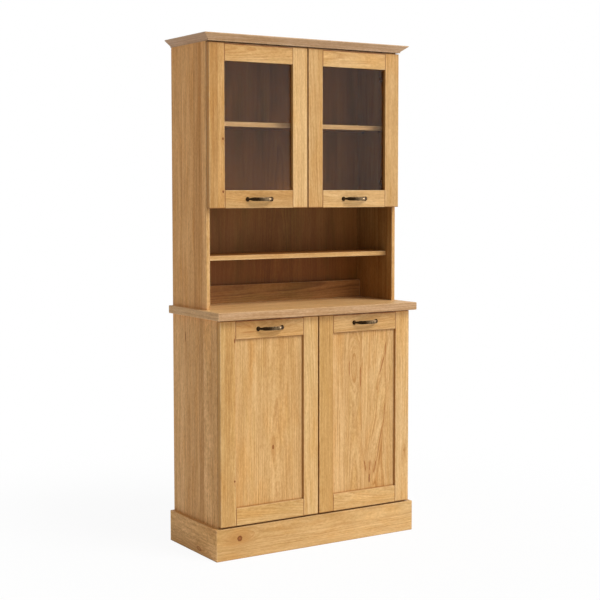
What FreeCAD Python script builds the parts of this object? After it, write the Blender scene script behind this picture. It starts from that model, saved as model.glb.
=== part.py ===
import FreeCAD, Part
import os
import re
from dataclasses import dataclass

import Sketcher
from FreeCAD import Placement, Rotation, Vector

# A step back cupboard in pine. A deep base with two panelled doors carries a worktop, and a
# shallower hutch stands on it, with an open niche and two glazed doors under a cornice.
# Millimetres. X runs to the right, Y to the back and Z up. The origin is on the floor, under
# the middle of the worktop, which is the widest thing from front to back.

# The driving dimensions. Each becomes a cell of the spreadsheet, and formulas use its name.
SIZES = {
    # Carcasses
    "carcass_width": 799,  # outside the sides, the same for base and hutch
    "base_depth": 327,  # of the base's carcass, without its doors
    "hutch_depth": 257,  # of the hutch's carcass, without its doors
    # Worktop
    "worktop_side_overhang": 16.5,  # beyond the base sides
    "worktop_front_overhang": 23,  # beyond the lower doors
    "worktop_thick": 28,
    "worktop_top": 857,  # height of its upper face
    "worktop_round": 3,
    # Plinth boards, planted on the outside of the base
    "plinth_side_thick": 16,
    "plinth_front_thick": 23,
    "plinth_height": 110,
    "plinth_round": 2,
    # Carcass boards
    "base_side_thick": 18,
    "hutch_side_thick": 14,
    "side_round": 1,
    "board_thick": 16,  # floor, deck and shelves
    "housing": 5,  # how far a fixed board is let into the sides
    "base_floor_top": 118,
    "stretcher_wide": 80,
    "stretcher_thick": 18,
    "base_back_thick": 8,
    "base_back_inset": 10,
    "hutch_back_thick": 10,
    "hutch_back_inset": 19,
    "back_rail_thick": 20,
    "back_rail_height": 67,
    "hutch_top_thick": 18,
    "niche_height": 355,  # from the worktop to the deck
    "deck_cover": 4.5,  # how far the upper doors reach below the deck
    # Shelves
    "niche_shelf_rise": 184.5,  # from the worktop to the shelf's upper face
    "display_shelf_rise": 279.5,  # the same from the deck
    "base_shelf_rise": 362,  # the same from the base's floor
    "hutch_shelf_setback": 40,
    "base_shelf_setback": 30,
    "shelf_play": 1,  # beside and behind a loose shelf
    "pin_radius": 2.5,
    "pin_in_side": 9,
    "pin_under_shelf": 8,
    "pin_inset": 40,  # from the shelf's front and back edges
    "pin_play": 0.05,
    # Dowels between the worktop and the hutch sides
    "dowel_radius": 3,
    "dowel_half": 15,
    "dowel_inset": 50,
    "dowel_play": 0.05,
    # Cornice
    "cornice_height": 25,
    "cornice_projection": 25.5,  # beyond the hutch sides and the upper doors
    "cornice_flare": 22.5,  # of its sloping face
    "cornice_lip": 3,
    "cornice_foot": 4,
    "cornice_run": 65,  # width of each moulding, seen from above
    # Doors
    "door_thick": 20,
    "door_back_gap": 2,
    "door_split": 5,  # between the two doors of a pair
    "door_reveal": 1.5,  # of the side's edge beside a closed door
    "plinth_clearance": 5.5,
    "worktop_clearance": 3.5,
    "cornice_clearance": 4.5,
    "upper_door_height": 563,
    "stile_wide": 60,
    "lower_top_rail": 64,
    "lower_bottom_rail": 61,
    "upper_top_rail": 60,
    "upper_bottom_rail": 62,
    "door_round": 1.5,
    "tenon_long": 25,
    "tenon_thick": 6,
    "tenon_recess": 8,  # from the door's face
    "tenon_shoulder": 12,
    # Panels and panes
    "panel_thick": 7,
    "panel_recess": 9,
    "groove_deep": 10,
    "glass_thick": 4,
    "glass_recess": 12,
    "rebate_deep": 8,
    "infill_play": 1,
    # Handles
    "handle_centres": 96,
    "handle_reach": 22,
    "handle_thick": 5,
    "handle_middle": 12,  # height of the bow in the middle
    "handle_end": 6,  # height of the bow over the rosettes
    "handle_round": 1,
    "rosette_radius": 7.5,
    "rosette_thick": 3,
    # Concealed hinges
    "hinge_inset": 90,  # from the door's upper and lower edges
    "cup_radius": 17.5,
    "cup_deep": 12,
    "cup_wall": 1,
    "cup_edge": 5,  # from the door's outer edge to the cup
    "cup_play": 0.1,
    "flange_tall": 52,
    "flange_wide": 24,
    "flange_thick": 1,
    "arm_offset": 22.5,  # from the door's outer edge to the arm
    "arm_thick": 8,
    "arm_tall": 16,
    "arm_long": 52,
    "arm_gap": 10,  # from the door's back to the arm
    "plate_tall": 50,
    "plate_long": 30,
    "plate_start": 16,  # from the arm's front end
    "link_offset": 26.5,  # from the door's outer edge to the link's pin
    "link_gap": 7,  # from the door's back to the link's pin
    "link_tall": 10,
    "link_thick": 3,
    "link_eye_radius": 2.6,
    "link_tip_radius": 2,
    "link_lean": 60,  # degrees that the closed link leans into the cup
    "link_play": 0.3,  # from the closed link's tip to the cup's floor
    "link_pin_radius": 1.4,
    "running_play": 0.05,
    "lug_play": 0.3,
    "lug_half": 2.5,
    "lug_reach": 6,
}

# Places that several pieces share, as formulas of the sizes.
WORKTOP_WIDE = "(carcass_width + 2 * worktop_side_overhang)"
WORKTOP_DEEP = "(base_depth + door_back_gap + door_thick + worktop_front_overhang)"
BACK = f"({WORKTOP_DEEP} / 2)"
BASE_FRONT = f"({BACK} - base_depth)"
HUTCH_FRONT = f"({BACK} - hutch_depth)"
HALF_CARCASS = "(carcass_width / 2)"
WORKTOP_UNDER = "(worktop_top - worktop_thick)"
DECK_UNDER = "(worktop_top + niche_height)"
DECK_TOP = f"({DECK_UNDER} + board_thick)"
UPPER_DOOR_BOTTOM = f"({DECK_UNDER} - deck_cover)"
UPPER_DOOR_TOP = f"({UPPER_DOOR_BOTTOM} + upper_door_height)"
HUTCH_TOP = f"({UPPER_DOOR_TOP} + cornice_clearance)"
HUTCH_CEILING = f"({HUTCH_TOP} - hutch_top_thick)"
BASE_FLOOR = "(base_floor_top - board_thick)"
BASE_PANEL = f"({BACK} - base_back_inset - base_back_thick)"
HUTCH_PANEL = f"({BACK} - hutch_back_inset - hutch_back_thick)"
BASE_ROOM = "(carcass_width - 2 * base_side_thick)"
HUTCH_ROOM = "(carcass_width - 2 * hutch_side_thick)"
HALF_DOORS = f"({HALF_CARCASS} - door_reveal)"
DOOR_WIDE = f"({HALF_DOORS} - door_split / 2)"
OPENING_WIDE = f"({DOOR_WIDE} - 2 * stile_wide)"
LOWER_DOOR_BOTTOM = "(plinth_height + plinth_clearance)"
LOWER_DOOR_TOP = f"({WORKTOP_UNDER} - worktop_clearance)"
LOWER_DOOR_HEIGHT = f"({LOWER_DOOR_TOP} - {LOWER_DOOR_BOTTOM})"
LOWER_DOOR_FACE = f"({BASE_FRONT} - door_back_gap - door_thick)"
UPPER_DOOR_FACE = f"({HUTCH_FRONT} - door_back_gap - door_thick)"
NICHE_FRONT = f"({HUTCH_FRONT} + hutch_shelf_setback)"
NICHE_SHELF_UNDER = "(worktop_top + niche_shelf_rise - board_thick)"
PLINTH_WIDE = "(carcass_width + 2 * plinth_side_thick)"
PLINTH_FACE = f"({BASE_FRONT} - plinth_front_thick)"
CORNICE_FACE = f"({UPPER_DOOR_FACE} - cornice_projection)"
CORNICE_HALF = f"({HALF_CARCASS} + cornice_projection)"
LINK_REACH = "(link_gap + cup_deep - cup_wall - link_tip_radius - link_play)"
LINK_LONG = f"({LINK_REACH} / sin(link_lean))"

LEFT, RIGHT = 1, -1  # the sign of X that leads from that end of the cupboard inward
FLAT = 1e-6


def bind(thing, target, formula):
    """Ties one property of an object to a formula of the spreadsheet's sizes."""
    named = re.sub(r"[a-z_]+", lambda word: f"Sizes.{word[0]}" if word[0] in SIZES else word[0], formula)
    thing.setExpression(target, named)


def value(doc, formula):
    """Works out a formula of the sizes, for code that needs the number itself."""
    numbers = {name: getattr(doc.Sizes, name) for name in SIZES}
    expression = re.sub(r"[a-z_]+", lambda word: repr(float(numbers[word[0]])), formula)
    return FreeCAD.Units.Quantity(expression).Value


def make_sheet(doc):
    """Writes the driving dimensions into the spreadsheet, one aliased cell each."""
    sheet = doc.addObject("Spreadsheet::Sheet", "Sizes")
    for row, (name, number) in enumerate(SIZES.items(), start=1):
        sheet.set(f"A{row}", name)
        sheet.set(f"B{row}", str(number))
        sheet.setAlias(f"B{row}", name)
    doc.recompute()


def place(thing, corner):
    """Ties an object's position to three formulas."""
    for axis, formula in zip("xyz", corner):
        bind(thing, f".Placement.Base.{axis}", formula)


def handed(hand, start, length="0"):
    """The lower X of a stretch that starts that far inward from the piece's corner."""
    return start if hand == LEFT else f"-({start}) - ({length})"


class Piece:
    """A PartDesign body, built up from blocks, rods and outlines.

    Its corner is the body's placement, and X in its features is measured inward from there.
    """

    def __init__(self, doc, label, corner, hand=LEFT):
        self.doc = doc
        self.label = label
        self.hand = hand
        self.body = doc.addObject("PartDesign::Body", label)
        self.body.Label = label
        place(self.body, corner)

    def block(self, size, at=("0", "0", "0"), cut=False):
        """Adds a box of that size at a place, or cuts it away."""
        kind = "SubtractiveBox" if cut else "AdditiveBox"
        box = self.body.newObject(f"PartDesign::{kind}", f"{self.label}_{kind}")
        for side, formula in zip(("Length", "Width", "Height"), size):
            bind(box, side, formula)
        place(box, (handed(self.hand, at[0], size[0]), at[1], at[2]))

    def rod(self, radius, length, at, along, cut=False):
        """Adds a cylinder that starts at a place and runs inward, to the back or up."""
        turns = {
            "inward": Rotation(Vector(0, 1, 0), 90 * self.hand),
            "back": Rotation(Vector(1, 0, 0), -90),
            "up": Rotation(),
        }
        kind = "SubtractiveCylinder" if cut else "AdditiveCylinder"
        cylinder = self.body.newObject(f"PartDesign::{kind}", f"{self.label}_{kind}")
        bind(cylinder, "Radius", radius)
        bind(cylinder, "Height", length)
        cylinder.Placement = Placement(Vector(), turns[along])
        place(cylinder, (handed(self.hand, at[0]), at[1], at[2]))

    def sketch(self, plane):
        """A new sketch on one of the body's own origin planes."""
        support = next(part for part in self.body.Origin.OriginFeatures if part.Role == plane)
        drawing = self.body.newObject("Sketcher::SketchObject", f"{self.label}_sketch")
        drawing.AttachmentSupport = [(support, "")]
        drawing.MapMode = "FlatFace"
        return drawing

    def polygon(self, plane, points):
        """A sketch of a closed outline, each corner held by two formulas."""
        drawing = self.sketch(plane)
        if plane != "YZ_Plane":
            points = [(handed(self.hand, across), up) for across, up in points]
        corners = [Vector(value(self.doc, across), value(self.doc, up), 0) for across, up in points]
        for start, end in zip(corners, corners[1:] + corners[:1]):
            drawing.addGeometry(Part.LineSegment(start, end))
        for line, (across, up) in enumerate(points):
            after = (line + 1) % len(points)
            drawing.addConstraint(Sketcher.Constraint("Coincident", line, 2, after, 1))
            hold_point(drawing, line, 1, across, up, corners[line])
        return drawing

    def pad(self, drawing, length, reverse=False, both_ways=False):
        """Pads a sketch by a length."""
        self.extrude("Pad", drawing, length, reverse, both_ways)

    def pocket(self, drawing, length):
        """Cuts a sketch's outline away, half the length to each side of its plane."""
        before = self.body.Shape.Volume
        self.extrude("Pocket", drawing, length, False, True)
        if self.body.Shape.Volume > before - FLAT:
            raise RuntimeError(f"{self.label}: a pocket cut nothing")

    def extrude(self, kind, drawing, length, reverse, both_ways):
        """Makes the pad or the pocket, and works it out."""
        feature = self.body.newObject(f"PartDesign::{kind}", f"{self.label}_{kind}")
        feature.Profile = drawing
        feature.Reversed = reverse
        if both_ways:
            feature.SideType = "Symmetric"
        bind(feature, "Length", length)
        self.doc.recompute()

    def round_edges(self, radius, chosen):
        """Rounds the edges that a test picks by their bounding box, in the body's own frame."""
        self.doc.recompute()
        tip = self.body.Tip
        edges = [f"Edge{i}" for i, edge in enumerate(tip.Shape.Edges, start=1) if chosen(edge.BoundBox)]
        if not edges:
            raise RuntimeError(f"{self.label}: no edge to round")
        fillet = self.body.newObject("PartDesign::Fillet", f"{self.label}_Fillet")
        fillet.Base = (tip, edges)
        bind(fillet, "Radius", radius)


def hold_point(drawing, geometry, end, across, up, near):
    """Holds one end of a sketch's line or arc at two formulas of the sizes."""
    for kind, formula, number in (("DistanceX", across, near.x), ("DistanceY", up, near.y)):
        index = drawing.addConstraint(Sketcher.Constraint(kind, -1, 1, geometry, end, number))
        name = f"{kind}_{geometry}_{end}"
        drawing.renameConstraint(index, name)
        bind(drawing, f"Constraints.{name}", formula)


def group(doc, label, pieces):
    """Several like pieces, each its own solid, that share one node."""
    compound = doc.addObject("Part::Compound", label)
    compound.Label = label
    compound.Links = [piece.body for piece in pieces]
    return compound


def board(doc, label, size, corner):
    """A plain board between other pieces."""
    piece = Piece(doc, label, corner)
    piece.block(size)
    return piece.body


def make_plinth(doc):
    """The three plinth boards, mitred at the front corners."""
    inner = f"({PLINTH_WIDE} - plinth_side_thick)"
    front = Piece(doc, "plinth_front", (f"-{PLINTH_WIDE} / 2", PLINTH_FACE, "0"))
    outline = [
        ("0", "0"),
        (PLINTH_WIDE, "0"),
        (inner, "plinth_front_thick"),
        ("plinth_side_thick", "plinth_front_thick"),
    ]
    front.pad(front.polygon("XY_Plane", outline), "plinth_height")
    top = value(doc, "plinth_height") - FLAT
    front.round_edges("plinth_round", lambda box: box.ZMin > top and box.YMax < FLAT)
    bodies = [front.body]
    deep = "(plinth_front_thick + base_depth)"
    for name, hand in (("left", LEFT), ("right", RIGHT)):
        side = Piece(doc, f"plinth_{name}", (f"{-hand} * {PLINTH_WIDE} / 2", PLINTH_FACE, "0"), hand)
        outline = [
            ("0", "0"),
            ("plinth_side_thick", "plinth_front_thick"),
            ("plinth_side_thick", deep),
            ("0", deep),
        ]
        side.pad(side.polygon("XY_Plane", outline), "plinth_height")
        side.round_edges("plinth_round", lambda box: box.ZMin > top and box.XLength < FLAT
                         and max(abs(box.XMin), abs(box.XMax)) < FLAT)
        bodies.append(side.body)
    return bodies


@dataclass(frozen=True)
class Shelf:
    """A loose shelf on four pins, between two sides."""

    label: str
    top: str
    side_thick: str
    front: str
    back: str
    foot: str  # height of the lower end of the sides that hold it

    @property
    def pin_middle(self):
        """Height of its pins' axes."""
        return f"({self.top} - board_thick - pin_radius - pin_play)"

    @property
    def pin_places(self):
        """Where its front and back pins are, from front to back."""
        return (f"({self.front} + pin_inset)", f"({self.back} - pin_inset)")

    def make(self, doc):
        """The shelf's board."""
        inner = f"({HALF_CARCASS} - {self.side_thick} - shelf_play)"
        size = (f"2 * {inner}", f"{self.back} - {self.front}", "board_thick")
        return board(doc, self.label, size, (f"-{inner}", self.front, f"{self.top} - board_thick"))

    def make_pins(self, doc):
        """Its four pins, half in the sides."""
        pins = []
        for hand in (LEFT, RIGHT):
            for back in self.pin_places:
                start = f"({HALF_CARCASS} - {self.side_thick} + pin_in_side)"
                corner = (f"{-hand} * {start}", back, self.pin_middle)
                pin = Piece(doc, f"{self.label}_pin", corner, hand)
                pin.rod("pin_radius", "pin_in_side + pin_under_shelf", ("0", "0", "0"), "inward")
                pins.append(pin)
        return pins

    def bore(self, side, side_front):
        """Bores a side for its pins."""
        for back in self.pin_places:
            level = f"{self.pin_middle} - {self.foot}"
            at = (f"{self.side_thick} - pin_in_side", f"{back} - {side_front}", level)
            side.rod("pin_radius + pin_play", "pin_in_side", at, "inward", cut=True)


BASE_SHELF = Shelf(
    "base_shelf",
    "(base_floor_top + base_shelf_rise)",
    "base_side_thick",
    f"({BASE_FRONT} + base_shelf_setback)",
    f"({BASE_PANEL} - shelf_play)",
    "0",
)
DISPLAY_SHELF = Shelf(
    "display_shelf",
    f"({DECK_TOP} + display_shelf_rise)",
    "hutch_side_thick",
    NICHE_FRONT,
    f"({HUTCH_PANEL} - shelf_play)",
    "worktop_top",
)


def make_base(doc):
    """The base's carcass: sides, floor, back panel, stretchers and shelf."""
    bodies = []
    housed = f"({BASE_ROOM} + 2 * housing)"
    left = f"(-{HALF_CARCASS} + base_side_thick)"
    inside = "base_side_thick - housing"
    behind_doors = f"({BASE_PANEL} - {BASE_FRONT})"
    # What is let into the sides: label, front, depth and height.
    fixed_boards = (
        ("base_floor", BASE_FRONT, behind_doors, "board_thick"),
        ("base_back", BASE_PANEL, "base_back_thick", f"({WORKTOP_UNDER} - {BASE_FLOOR})"),
    )
    for name, hand in (("left", LEFT), ("right", RIGHT)):
        side = Piece(doc, f"base_side_{name}", (f"{-hand} * {HALF_CARCASS}", BASE_FRONT, "0"), hand)
        side.block(("base_side_thick", "base_depth", WORKTOP_UNDER))
        side.round_edges("side_round", lambda box: box.YMax < FLAT and box.XLength < FLAT)
        for _, front, deep, tall in fixed_boards:
            side.block(("housing", deep, tall), (inside, f"{front} - {BASE_FRONT}", BASE_FLOOR), cut=True)
        BASE_SHELF.bore(side, BASE_FRONT)
        bodies.append(side.body)
    for label, front, deep, tall in fixed_boards:
        bodies.append(board(doc, label, (housed, deep, tall), (f"{left} - housing", front, BASE_FLOOR)))
    stretcher = (BASE_ROOM, "stretcher_wide", "stretcher_thick")
    for name, start in (("front", BASE_FRONT), ("rear", f"{BASE_PANEL} - stretcher_wide")):
        corner = (left, start, f"{WORKTOP_UNDER} - stretcher_thick")
        bodies.append(board(doc, f"{name}_stretcher", stretcher, corner))
    bodies.append(BASE_SHELF.make(doc))
    return bodies


DOWEL_PLACES = (f"({HUTCH_FRONT} + dowel_inset)", f"({BACK} - dowel_inset)")
DOWEL_ACROSS = f"({HALF_CARCASS} - hutch_side_thick / 2)"


def make_worktop(doc):
    """The worktop, eased all round, with the dowels that locate the hutch on it."""
    top = Piece(doc, "worktop", (f"-{WORKTOP_WIDE} / 2", f"-{BACK}", WORKTOP_UNDER))
    top.block((WORKTOP_WIDE, WORKTOP_DEEP, "worktop_thick"))
    rear = value(doc, WORKTOP_DEEP) - FLAT
    top.round_edges("worktop_round", lambda box: box.YMin < rear and box.ZLength < FLAT)
    dowels = []
    for hand in (LEFT, RIGHT):
        for back in DOWEL_PLACES:
            across = f"{WORKTOP_WIDE} / 2 - {hand} * {DOWEL_ACROSS}"
            at = (across, f"{back} + {BACK}", "worktop_thick - dowel_half")
            top.rod("dowel_radius + dowel_play", "dowel_half", at, "up", cut=True)
            dowel = Piece(doc, "dowel", (f"{-hand} * {DOWEL_ACROSS}", back, "worktop_top - dowel_half"))
            dowel.rod("dowel_radius", "2 * dowel_half", ("0", "0", "0"), "up")
            dowels.append(dowel)
    return [top.body, group(doc, "hutch_dowels", dowels)]


def make_hutch(doc):
    """The hutch's carcass: sides, top, deck, shelves and back."""
    bodies = []
    housed = f"({HUTCH_ROOM} + 2 * housing)"
    left = f"(-{HALF_CARCASS} + hutch_side_thick)"
    inside = "hutch_side_thick - housing"
    deep = f"({HUTCH_PANEL} - {HUTCH_FRONT})"
    niche_deep = f"({deep} - hutch_shelf_setback)"
    # What is let into the sides: label, front, depth, underside and height.
    fixed_boards = (
        ("hutch_top", HUTCH_FRONT, "hutch_depth", HUTCH_CEILING, "hutch_top_thick"),
        ("hutch_deck", HUTCH_FRONT, deep, DECK_UNDER, "board_thick"),
        ("niche_shelf", NICHE_FRONT, niche_deep, NICHE_SHELF_UNDER, "board_thick"),
        ("hutch_back", HUTCH_PANEL, "hutch_back_thick", "worktop_top", f"({HUTCH_CEILING} - worktop_top)"),
    )
    for name, hand in (("left", LEFT), ("right", RIGHT)):
        corner = (f"{-hand} * {HALF_CARCASS}", HUTCH_FRONT, "worktop_top")
        side = Piece(doc, f"hutch_side_{name}", corner, hand)
        side.block(("hutch_side_thick", "hutch_depth", f"{HUTCH_TOP} - worktop_top"))
        side.round_edges("side_round", lambda box: box.YMax < FLAT and box.XLength < FLAT)
        for _, front, along, under, tall in fixed_boards:
            at = (inside, f"{front} - {HUTCH_FRONT}", f"{under} - worktop_top")
            side.block(("housing", along, tall), at, cut=True)
        for back in DOWEL_PLACES:
            at = ("hutch_side_thick / 2", f"{back} - {HUTCH_FRONT}", "0")
            side.rod("dowel_radius + dowel_play", "dowel_half", at, "up", cut=True)
        DISPLAY_SHELF.bore(side, HUTCH_FRONT)
        bodies.append(side.body)
    for label, front, along, under, tall in fixed_boards:
        bodies.append(board(doc, label, (housed, along, tall), (f"{left} - housing", front, under)))
    rail = (HUTCH_ROOM, "back_rail_thick", "back_rail_height")
    bodies.append(board(doc, "back_rail", rail, (left, f"{HUTCH_PANEL} - back_rail_thick", "worktop_top")))
    bodies.append(DISPLAY_SHELF.make(doc))
    return bodies


def make_cornice(doc):
    """The cornice: a sloping moulding along the front and both sides, mitred at the corners."""
    upper = "(cornice_height - cornice_lip)"
    profile = [
        ("cornice_flare", "0"),
        ("cornice_run", "0"),
        ("cornice_run", "cornice_height"),
        ("0", "cornice_height"),
        ("0", upper),
        ("cornice_flare", "cornice_foot"),
    ]
    both = "(2 * cornice_height + 2)"
    front = Piece(doc, "cornice_front", (f"-{CORNICE_HALF}", CORNICE_FACE, HUTCH_TOP))
    front.pad(front.polygon("YZ_Plane", profile), f"2 * {CORNICE_HALF}")
    for start, slope in (("0", ""), (f"2 * {CORNICE_HALF}", "-")):
        mitre = [(start, "0"), (f"{start} {slope or '+'} cornice_run", "cornice_run"), (start, "cornice_run")]
        front.pocket(front.polygon("XY_Plane", mitre), both)
    bodies = [front.body]
    for name, hand in (("left", LEFT), ("right", RIGHT)):
        side = Piece(doc, f"cornice_{name}", (f"{-hand} * {CORNICE_HALF}", CORNICE_FACE, HUTCH_TOP), hand)
        side.pad(side.polygon("XZ_Plane", profile), f"{BACK} - {CORNICE_FACE}", reverse=True)
        mitre = [("0", "0"), ("cornice_run", "0"), ("cornice_run", "cornice_run")]
        side.pocket(side.polygon("XY_Plane", mitre), both)
        bodies.append(side.body)
    return bodies


@dataclass(frozen=True)
class Door:
    """One framed door. Its pieces are measured from the outer lower corner of its face."""

    name: str
    hand: int
    face: str
    bottom: str
    height: str
    top_rail: str
    bottom_rail: str
    side_thick: str
    glazed: bool

    @property
    def corner(self):
        """The outer lower corner of the door's face."""
        return (f"{-self.hand} * {HALF_DOORS}", self.face, self.bottom)

    @property
    def hinge_heights(self):
        """Heights of its two hinges above its lower edge."""
        return ("hinge_inset", f"({self.height} - hinge_inset)")

    @property
    def opening_tall(self):
        """Height of the opening between its rails."""
        return f"({self.height} - {self.top_rail} - {self.bottom_rail})"

    def piece(self, doc, part, at):
        """A body of this door, its corner inward, back and up from the door's corner."""
        across, face, bottom = self.corner
        corner = (f"{across} + {self.hand} * ({at[0]})", f"{face} + {at[1]}", f"{bottom} + {at[2]}")
        return Piece(doc, f"{self.name}_{part}", corner, self.hand)

    @property
    def seat(self):
        """Depth, thickness and place of the seat that holds the panel or the pane."""
        if self.glazed:
            return "rebate_deep", "(door_thick - glass_recess)", "glass_recess"
        return "groove_deep", "panel_thick", "panel_recess"

    def make_stile(self, doc, which):
        """A stile, with the seat along its inner edge and a mortise for each rail."""
        outer = which == "outer"
        stile = self.piece(doc, f"stile_{which}", ("0" if outer else f"{DOOR_WIDE} - stile_wide", "0", "0"))
        stile.block(("stile_wide", "door_thick", self.height))
        stile.round_edges("door_round", lambda box: box.YMax < FLAT)
        deep, thick, recess = self.seat
        seat_size = (deep, thick, f"{self.opening_tall} + 2 * {deep}")
        start = f"stile_wide - {deep}" if outer else "0"
        stile.block(seat_size, (start, recess, f"{self.bottom_rail} - {deep}"), cut=True)
        start = "stile_wide - tenon_long" if outer else "0"
        for rail, level in ((self.bottom_rail, "0"), (self.top_rail, f"{self.height} - {self.top_rail}")):
            size = ("tenon_long", "tenon_thick", f"{rail} - 2 * tenon_shoulder")
            stile.block(size, (start, "tenon_recess", f"{level} + tenon_shoulder"), cut=True)
        if outer:
            for level in self.hinge_heights:
                at = ("cup_edge + cup_radius", "door_thick - cup_deep", level)
                stile.rod("cup_radius + cup_play", "cup_deep", at, "back", cut=True)
        return stile.body

    def make_rail(self, doc, which):
        """A rail between the stiles, with its tenons and the seat along its inner edge."""
        tall, level = (self.bottom_rail, "0")
        if which == "top":
            tall, level = (self.top_rail, f"{self.height} - {self.top_rail}")
        rail = self.piece(doc, f"{which}_rail", ("stile_wide", "0", level))
        rail.block((OPENING_WIDE, "door_thick", tall))
        rail.round_edges("door_round", lambda box: box.YMax < FLAT)
        deep, thick, recess = self.seat
        seat_level = "0" if which == "top" else f"{tall} - {deep}"
        rail.block((OPENING_WIDE, thick, deep), ("0", recess, seat_level), cut=True)
        tenon = (f"{OPENING_WIDE} + 2 * tenon_long", "tenon_thick", f"{tall} - 2 * tenon_shoulder")
        rail.block(tenon, ("-tenon_long", "tenon_recess", "tenon_shoulder"))
        return rail.body

    def make_infill(self, doc):
        """The flat panel in its grooves, or the pane in its rebate with its beads."""
        deep, _, recess = self.seat
        reach = f"({deep} - infill_play)"
        thick = "glass_thick" if self.glazed else "panel_thick"
        wide = f"({OPENING_WIDE} + 2 * {reach})"
        tall = f"({self.opening_tall} + 2 * {reach})"
        start = (f"stile_wide - {reach}", recess, f"{self.bottom_rail} - {reach}")
        infill = self.piece(doc, "glass" if self.glazed else "panel", start)
        infill.block((wide, thick, tall))
        if not self.glazed:
            return [infill.body]
        bead = f"(door_thick - glass_recess - glass_thick)"
        behind = "glass_recess + glass_thick"
        low = f"({self.bottom_rail} - {reach})"
        beads = []
        for at, size in (
            ((f"stile_wide - {reach}", behind, low), (reach, bead, tall)),
            ((f"stile_wide + {OPENING_WIDE}", behind, low), (reach, bead, tall)),
            (("stile_wide", behind, low), (OPENING_WIDE, bead, reach)),
            (("stile_wide", behind, f"{self.height} - {self.top_rail}"), (OPENING_WIDE, bead, reach)),
        ):
            strip = self.piece(doc, "bead", at)
            strip.block(size)
            beads.append(strip)
        return [infill.body, group(doc, f"{self.name}_beads", beads)]

    def make_handle(self, doc):
        """A bow handle on two rosettes, in the middle of the rail nearer to the other pair."""
        level = f"{self.bottom_rail} / 2" if self.glazed else f"{self.height} - {self.top_rail} / 2"
        handle = self.piece(doc, "handle", (f"{DOOR_WIDE} / 2", "0", level))
        foot = "((handle_centres + rosette_radius) / 2)"
        inner = f"({foot} - handle_thick)"
        handle.pad(arch(handle, foot, inner), "handle_middle", both_ways=True)
        handle.pocket(taper(handle, f"({foot} + handle_thick)"), "4 * handle_reach")
        handle.round_edges("handle_round", lambda box: box.XLength > FLAT and box.ZLength > FLAT)
        for end in ("-handle_centres / 2", "handle_centres / 2"):
            handle.rod("rosette_radius", "rosette_thick", (end, "-rosette_thick", "0"), "back")
        return handle.body

    def make_hinges(self, doc):
        """The cups in the stile, the links and the arms on the carcass, in that order."""
        cups, links, arms = [], [], []
        across = "cup_edge + cup_radius"
        for level in self.hinge_heights:
            cup = self.piece(doc, "cup", (across, "door_thick", level))
            cup.rod("cup_radius", "cup_deep", ("0", "-cup_deep", "0"), "back")
            flange = ("flange_wide", "flange_thick", "flange_tall")
            cup.block(flange, ("-flange_wide / 2", "0", "-flange_tall / 2"))
            hollow = "(cup_deep - cup_wall + flange_thick)"
            cup.rod("cup_radius - cup_wall", hollow, ("0", "-cup_deep + cup_wall", "0"), "back", cut=True)
            cups.append(cup)
            links.append(self.make_link(doc, level))
            arms.append(self.make_arm(doc, level))
        cups = group(doc, f"{self.name}_hinge_cups", cups)
        links = group(doc, f"{self.name}_hinge_links", links)
        return cups, links, arms

    def make_link(self, doc, level):
        """The link on an arm's pin, leaning into the cup while the door is closed."""
        at = ("link_offset", "door_thick + link_gap", f"{level} - link_tall / 2")
        link = self.piece(doc, "link", at)
        link.rod("link_eye_radius", "link_tall", ("0", "0", "0"), "up")
        link.block((LINK_LONG, "link_thick", "link_tall"), ("0", "-link_thick / 2", "0"))
        link.rod("link_tip_radius", "link_tall", (LINK_LONG, "0", "0"), "up")
        link.rod("link_pin_radius + running_play", "link_tall", ("0", "0", "0"), "up", cut=True)
        link.body.Placement = Placement(link.body.Placement.Base, Rotation(Vector(0, 0, 1), 1))
        bind(link.body, ".Placement.Rotation.Angle", f"{-self.hand} * link_lean")
        return link

    def make_arm(self, doc, level):
        """An arm with its mounting plate, the lugs round the link and the pin through them."""
        start = ("arm_offset", "door_thick + arm_gap", f"{level} - arm_tall / 2")
        arm = self.piece(doc, "arm", start)
        arm.block(("arm_thick", "arm_long", "arm_tall"))
        plate_thick = f"(arm_offset + door_reveal - {self.side_thick})"
        plate_low = "(arm_tall / 2 - plate_tall / 2)"
        arm.block((plate_thick, "plate_long", "plate_tall"), (f"-{plate_thick}", "plate_start", plate_low))
        pin_across = "(link_offset - arm_offset)"
        pin_ahead = "(link_gap - arm_gap)"
        lug_tall = "(arm_tall / 2 - link_tall / 2 - lug_play)"
        for low in ("0", f"arm_tall - {lug_tall}"):
            lug = ("2 * lug_half", "lug_reach", lug_tall)
            arm.block(lug, (f"{pin_across} - lug_half", "-lug_reach", low))
        arm.rod("link_pin_radius", "arm_tall", (pin_across, pin_ahead, "0"), "up")
        return arm

    def make(self, doc):
        """All the door's nodes, and the hinge arms that the carcass keeps."""
        cups, links, arms = self.make_hinges(doc)
        bodies = [self.make_stile(doc, which) for which in ("outer", "inner")]
        bodies += [self.make_rail(doc, which) for which in ("top", "bottom")]
        bodies += [*self.make_infill(doc), self.make_handle(doc), cups, links]
        return bodies, arms


def add_bow(doc, drawing, half_span, level, rise):
    """Adds an arc over a span at a level, and holds it. Returns its left and right ends' numbers."""
    half, height, top = (value(doc, formula) for formula in (half_span, level, rise))
    arc = Part.Arc(Vector(-half, height, 0), Vector(0, height + top, 0), Vector(half, height, 0))
    index = drawing.addGeometry(arc)
    left, right = (2, 1) if top > 0 else (1, 2)
    hold_point(drawing, index, left, f"-({half_span})", level, Vector(-half, height, 0))
    hold_point(drawing, index, right, half_span, level, Vector(half, height, 0))
    radius = (half**2 + top**2) / (2 * abs(top))
    constraint = drawing.addConstraint(Sketcher.Constraint("Radius", index, radius))
    drawing.renameConstraint(constraint, f"radius_{index}")
    size = f"abs(({half_span})^2 + ({rise})^2) / abs(2 * ({rise}))"
    bind(drawing, f"Constraints.radius_{index}", size)
    return index, left, right


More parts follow.
